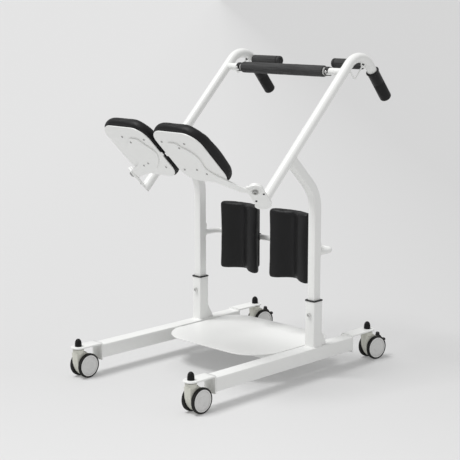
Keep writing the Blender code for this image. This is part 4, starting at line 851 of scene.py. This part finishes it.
def seat_tray(side, sign):
    """Tray with its tab, and the screws in its face and in the arm plate under it."""
    body, place = f"seat_{side}", seat_place(sign)
    tab = eased([(-7, 16.5), (-7, 6.5), (7, 6.5), (7, 16.5)], 2)
    fit(f"seat_tray_{side}", body, POWDER, f"seat_panel_{side}",
        slab(place, tray_outline(-2), 0, TRAY_T, 1.4, 4), slab(place, tab, 0.5, TRAY_T - 0.5, 0.6))
    pan = [(0, 0.4), (3.6, 0.4), (3.6, -0.6), (3.1, -1.8), (2.2, -2.3), (1.4, -2.3), (1.2, -1.1), (0, -1.1)]
    heads = [(spot, 0) for spot in TRAY_SCREWS] + [(spot, -ARM_T - GAP) for spot in ARM_SCREWS]
    fit(f"tray_screws_{side}", body, ZINC, None,
        *[turned(pan, laid(place, spot, lift)[0], NORMAL, 28) for spot, lift in heads])


def crossing(outline, w, rising):
    """Where an outline crosses a line w from the middle, found by straight interpolation."""
    after = np.roll(outline, -1, 0)
    hit = (outline[:, 1] < w) & (after[:, 1] >= w) if rising else (outline[:, 1] >= w) & (after[:, 1] < w)
    k = int(np.flatnonzero(hit)[0])
    share = (w - outline[k, 1]) / (after[k, 1] - outline[k, 1])
    return float(outline[k, 0] + (after[k, 0] - outline[k, 0]) * share), w


def seat_arm(side, sign):
    """Arm plate under the tray, folded on a line across it to a web and disc on the hub's axes."""
    place = seat_place(sign)
    centre, _, _, hinge = hub_axes = hub(sign)
    hub_s, hub_h = (centre - SEAT_MIDDLE) @ SLOPE, (centre - SEAT_MIDDLE) @ NORMAL
    half = ARM_T / 2
    fold_w = HUB_Y - (hub_h + HUB_WEB_LEVEL / cos(HUB_TILT) + half + GAP) / tan(HUB_TILT)
    arm = np.array(ARM_OUTLINE, float)
    upper, lower = crossing(arm, fold_w, True), crossing(arm, fold_w, False)
    past = np.flatnonzero(arm[:, 1] >= fold_w)
    strap = [lower, *arm[past[-1] + 1:], *arm[:past[0]], upper]
    fold = (fold_w - HUB_Y) / cos(HUB_TILT)
    neck = [(lower[0] - hub_s, fold), *ARM_NECK, (upper[0] - hub_s, fold)]
    start, end = [laid(place, (s, fold_w), -GAP - half)[0] for s in (upper[0] + 0.4, lower[0] - 0.4)]
    length = np.linalg.norm(end - start)
    disc = [(0, 0.8), (22.8, 0.8), (23.5, 1.5), (23.5, 5.3), (22.8, 6), (17.5, 6), (17, 5.5), (13, 5.5),
            (12.5, 6), (0, 6)]
    fit(f"seat_bracket_{side}", f"seat_{side}", POWDER, f"seat_arm_{side}",
        slab(place, eased(strap, 7, 5, False), -GAP - ARM_T, -GAP, 0.3, 1),
        slab(hub_axes, eased(neck, 1.5, 4, False), HUB_WEB_LEVEL - half, HUB_WEB_LEVEL + half, 0.3, 1),
        turned([(0, 0), (half, 0), (half, length), (0, length)], start, end - start, 20),
        turned(disc, centre, hinge, 64))


def hinge_bolt(side, sign):
    """Bolt with its cap on the hub plate and its nut on the disc, and two dark screws in the plate."""
    centre, _, _, hinge = hub_axes = hub(sign)
    low = HUB_PLATE_T + 2.3
    cap = [(0, 4), (9.8, low), (10, low + 1.4), (9.4, low + 2.2), (7.6, low + 2.2), (7.2, low + 4.6),
           (6.4, low + 5.4), (4.4, low + 5.4), (3.8, low + 2.6), (0, low + 2.6)]
    shank = [(0, -8), (4.9, -8), (4.9, 13.8), (4.2, 14.6), (0, 14.6)]
    fit(f"hinge_bolt_{side}", "upper_frame", ZINC, f"pivot_bolt_{side}", turned(cap, centre, -hinge, 48),
        turned(shank, centre, hinge, 32), slab(hub_axes, circle(16 / sqrt(3), 6), 6.3, 13.3))
    pan = [(0, -2), (3.4, -2), (3.4, 0.4), (2.6, 1.2), (1.4, 1.2), (1.2, 0.2), (0, 0.2)]
    fit(f"hub_screws_{side}", "upper_frame", OXIDE, None,
        *[turned(pan, laid(hub_axes, spot, -HUB_PLATE_T)[0], -hinge, 24)
          for spot in ((21.2, 17.6), (39, -18))])


# Cushions

def seat_cushion_form(sign, shrink):
    """Crowned pad over its tray, full at its top end and outer side and drawn in at the others.

    The ends move by a (1 - v^2) and the sides by b (1 - u^2), for u and v from -1 to 1 over it.
    Heights grow by a share up to 0.2 between the corners, as 1 - (u v)^2 / 0.52.
    """
    base, edge_t, crown, edge, fuller = TRAY_T + GAP, 34.3 - shrink, 3, 18, 0.2
    place = seat_place(sign)

    def level(inward, h, pull=1.0, scale=1.0):
        corners = tray_outline(5.5 - inward - shrink).reshape(4, -1, 2)
        share = np.linspace(0, 1, 14)[1:-1, None]
        sides = [a[-1] * (1 - share) + b[0] * share for a, b in zip(corners, np.roll(corners, -1, 0))]
        line = np.concatenate([part for pair in zip(corners, sides) for part in pair])
        u, v = line[:, 0] / TRAY_HALF_S, (line[:, 1] - TRAY_MID_W) / TRAY_HALF_W
        s = line[:, 0] + pull * np.where(u < 0, 3, -1) * u * np.maximum(0, 1 - v * v)
        w = line[:, 1] + pull * np.where(v > 0, 3, -4) * v * np.maximum(0, 1 - u * u)
        flat = np.stack([s * scale, TRAY_MID_W + (w - TRAY_MID_W) * scale], -1)
        between = np.maximum(0, 1 - (u * v) ** 2 / 0.52)
        swell = 1 + fuller * (scale * between + 1 - scale)
        return laid(place, flat) + (base + h * swell)[:, None] * NORMAL

    rows = [level(4, 0, 0.0), level(1.5, 1.5, 0.2), level(0.4, 4, 0.5), level(0, 8)]
    rows += [level(edge * (1 - cos(a)), edge_t - edge + edge * sin(a))
             for a in np.radians(np.linspace(0, 86, 9))]
    rows += [level(edge, edge_t + crown * (1 - k * k), 1.0, k) for k in np.linspace(0.9, 0.1, 9)]
    pole = laid(place, (0, TRAY_MID_W), base + (edge_t + crown) * (1 + fuller))[0]
    return skin(rows, poles=(None, pole))


def knee_cushion_form(sign, shrink):
    """Upright pad with a shin channel: front x = a + b f exp(-((t - 0.5) / 0.23)^2).

    f fades the channel to 0.7 over the last 25 mm towards the top.
    """
    low, high = KNEE_SPAN_Z
    radius, width = 9, KNEE_Y[1] - KNEE_Y[0]
    t_front = np.concatenate([[0, 0.01, 0.03], np.linspace(0.06, 0.94, 30), [0.97, 0.99, 1]])
    t_back = np.linspace(1, 0, 22)[1:-1]
    dip = np.maximum(0, radius - np.minimum(t_front, 1 - t_front) * width)
    roll = radius - np.sqrt(radius ** 2 - dip ** 2)
    channel = 33 * np.exp(-((t_front - 0.5) / 0.23) ** 2)
    back = 163 + 16.7 * np.minimum(1, 4.2 * t_back * (1 - t_back)) ** 1.5

    def level(z, inward, back_off):
        wide = width - 2 * inward
        near_top = np.clip((high - z) / 25, 0, 1)
        front = 132 + channel * (0.7 + 0.3 * near_top ** 2 * (3 - 2 * near_top))
        front = front + 3 * np.abs(2 * t_front - 1) ** 4 + roll + back_off
        x = np.concatenate([front, np.maximum(back - shrink * 0.3, front[0] + 4)])
        y = sign * (KNEE_Y[0] + inward + wide * np.concatenate([t_front, t_back]))
        return np.stack([x, y, np.full(len(x), z)], -1)

    steps = [(radius * (1 - sin(a)), radius * (1 - cos(a)))
             for a in np.radians(np.linspace(90, 6, 9))]
    ends = [level(low + shrink + lift, off * 0.55 + shrink, off * 0.9 + shrink) for lift, off in steps]
    tops = [level(high - shrink - lift, off * 0.55 + shrink, off * 0.9 + shrink)
            for lift, off in steps[::-1]]
    share = np.linspace(0, 1, 22)
    heights = low + shrink + radius + (high - low - 2 * (radius + shrink)) * share
    body = [level(z, shrink + 2.5 * sin(pi * k), shrink - 2 * sin(pi * k))
            for z, k in zip(heights, share)]
    return skin(ends + body + tops)


def stuffed(name, form, body, node, rest_on, cap):
    """A cushion inflated as cloth from a slightly small form, its moves capped, its back held.

    A point x that the cloth moves by d ends at x + d min(1, cap / |d|).
    """
    scene = bpy.context.scene
    piece = linked(name, mesh_of(name, [form]))
    voxels = piece.modifiers.new("voxels", "REMESH")
    voxels.mode, voxels.voxel_size = "VOXEL", 0.0048
    relax = piece.modifiers.new("relax", "SMOOTH")
    relax.factor, relax.iterations = 0.5, 6
    piece.data = read_mesh(piece)
    piece.modifiers.clear()
    start = points_of(piece.data)
    point, normal, reach = rest_on
    held = np.flatnonzero((start / MM - point) @ normal < reach)
    group = piece.vertex_groups.new(name="held")
    group.add(held.tolist(), 1.0, "REPLACE")
    cloth = piece.modifiers.new("cloth", "CLOTH")
    cloth.settings.vertex_group_mass = "held"
    cloth.settings.use_pressure = True
    cloth.settings.uniform_pressure_force = 4.0
    cloth.settings.effector_weights.gravity = 0.0
    cloth.settings.tension_stiffness = cloth.settings.compression_stiffness = 40
    cloth.point_cache.frame_start, cloth.point_cache.frame_end = 1, 20
    for step in range(1, 21):
        scene.frame_set(step)
        piece.evaluated_get(bpy.context.evaluated_depsgraph_get())
    moved = points_of(read_mesh(piece)) - start
    piece.modifiers.clear()
    scene.frame_set(1)
    far = np.maximum(np.linalg.norm(moved, axis=1, keepdims=True), 1e-9)
    final = start + moved * np.minimum(1, cap * MM / far)
    piece.data.vertices.foreach_set("co", final.astype(np.float32).ravel())
    piece.data.update()
    piece.data.shade_smooth()
    smoother = piece.modifiers.new("finer", "SUBSURF")
    smoother.levels = smoother.render_levels = 1
    dress(piece, body, VINYL, node)


def points_of(mesh):
    """A mesh's points as one array, in metres."""
    flat = np.empty(len(mesh.vertices) * 3, np.float32)
    mesh.vertices.foreach_get("co", flat)
    return flat.reshape(-1, 3).astype(float)


def read_mesh(piece):
    """The mesh that a piece's modifiers give."""
    graph = bpy.context.evaluated_depsgraph_get()
    graph.update()
    return bpy.data.meshes.new_from_object(piece.evaluated_get(graph))


def cushions():
    tray_face, board_face = SEAT_MIDDLE + NORMAL * (TRAY_T + GAP), (179.7, 0, 0)
    for side, sign in SIDES.items():
        stuffed(f"seat_cushion_{side}", seat_cushion_form(sign, 1.5), f"seat_{side}", f"seat_pad_{side}",
                (tray_face, NORMAL, 3), 4)
        stuffed(f"knee_cushion_{side}", knee_cushion_form(sign, 1.2), "upper_frame", f"knee_pad_{side}",
                (board_face, -FORWARD, 4), 3)


# Studio

def studio():
    """Pale seamless floor with painted shade darkening it to the right and towards the back and an even glow
    lifting its shadows, a broad key light from the far left, and soft light all round.
    """
    wide = 2000 / MM
    corners = (-wide, -wide, 0), (wide, -wide, 0), (wide, wide, 0), (-wide, wide, 0)
    floor = linked("studio_floor", mesh_of("studio_floor", [(corners, [np.array([[0, 1, 2, 3]])])]))
    sweep = Finish("floor_painted_falloff", None, (0.55,) * 3, 0.9, specular=0.1)
    # Painted shade: the floor's colour darkens towards +X -Y (the right of the view) and away from the
    # camera, and lightens towards the camera side, standing in for the light falling off.
    side, depth = (sweep.part(0) - sweep.part(1)) * 0.7071, (sweep.part(0) + sweep.part(1)) * 0.7071
    share = 0.53 - 0.53 * side.clipped(0.0, 1.5) + 0.125 * side.clipped(0.0, -1.5)
    sweep.blend(share + 0.34 * depth.clipped(0.0, -1.0), (0.40,) * 3, (0.545,) * 3)
    # Painted light: the floor glows evenly, which lifts the shadows cast on it.
    sweep.set("Emission Color", (1.0, 1.0, 1.0, 1.0))
    sweep.set("Emission Strength", 0.18)
    floor.data.materials.append(sweep.material)
    world = bpy.data.worlds.new("studio_light")
    world.use_nodes = True
    sky = world.node_tree.nodes["Background"].inputs
    sky[0].default_value, sky[1].default_value = (1.0, 1.0, 1.0, 1.0), 0.50
    bpy.context.scene.world = world
    for name, energy, angle, tilt, turn in (("key_light", 2.35, 24.0, 23.0, 150.0),
                                            ("fill_light", 0.12, 60.0, 55.0, 290.0)):
        lamp = bpy.data.lights.new(name, "SUN")
        lamp.energy, lamp.angle = energy, radians(angle)
        linked(name, lamp).rotation_euler = (0.0, radians(tilt), radians(turn))
    lens = bpy.data.cameras.new("studio_camera")
    lens.lens, lens.sensor_width = 99.9, 36.0
    camera = linked("studio_camera", lens)
    camera.location = (-2.9338, -2.8649, 1.2071)
    camera.rotation_euler = (radians(79.666), 0.0, radians(-45.517))
    bpy.context.scene.camera = camera
    bpy.context.scene.view_settings.view_transform = "Standard"


studio()
casters()
rails()
step_plate()
for side, sign in SIDES.items():
    foot_at = (UPRIGHT_X, sign * HALF_TRACK, 0.0)
    sleeve(side, foot_at)
    mast(side, foot_at)
crossbar()
knee_support()
for side, sign in SIDES.items():
    for make in (push_handle, push_grip, inboard_grip, seat_tray, seat_arm, hinge_bolt):
        make(side, sign)
cushions()
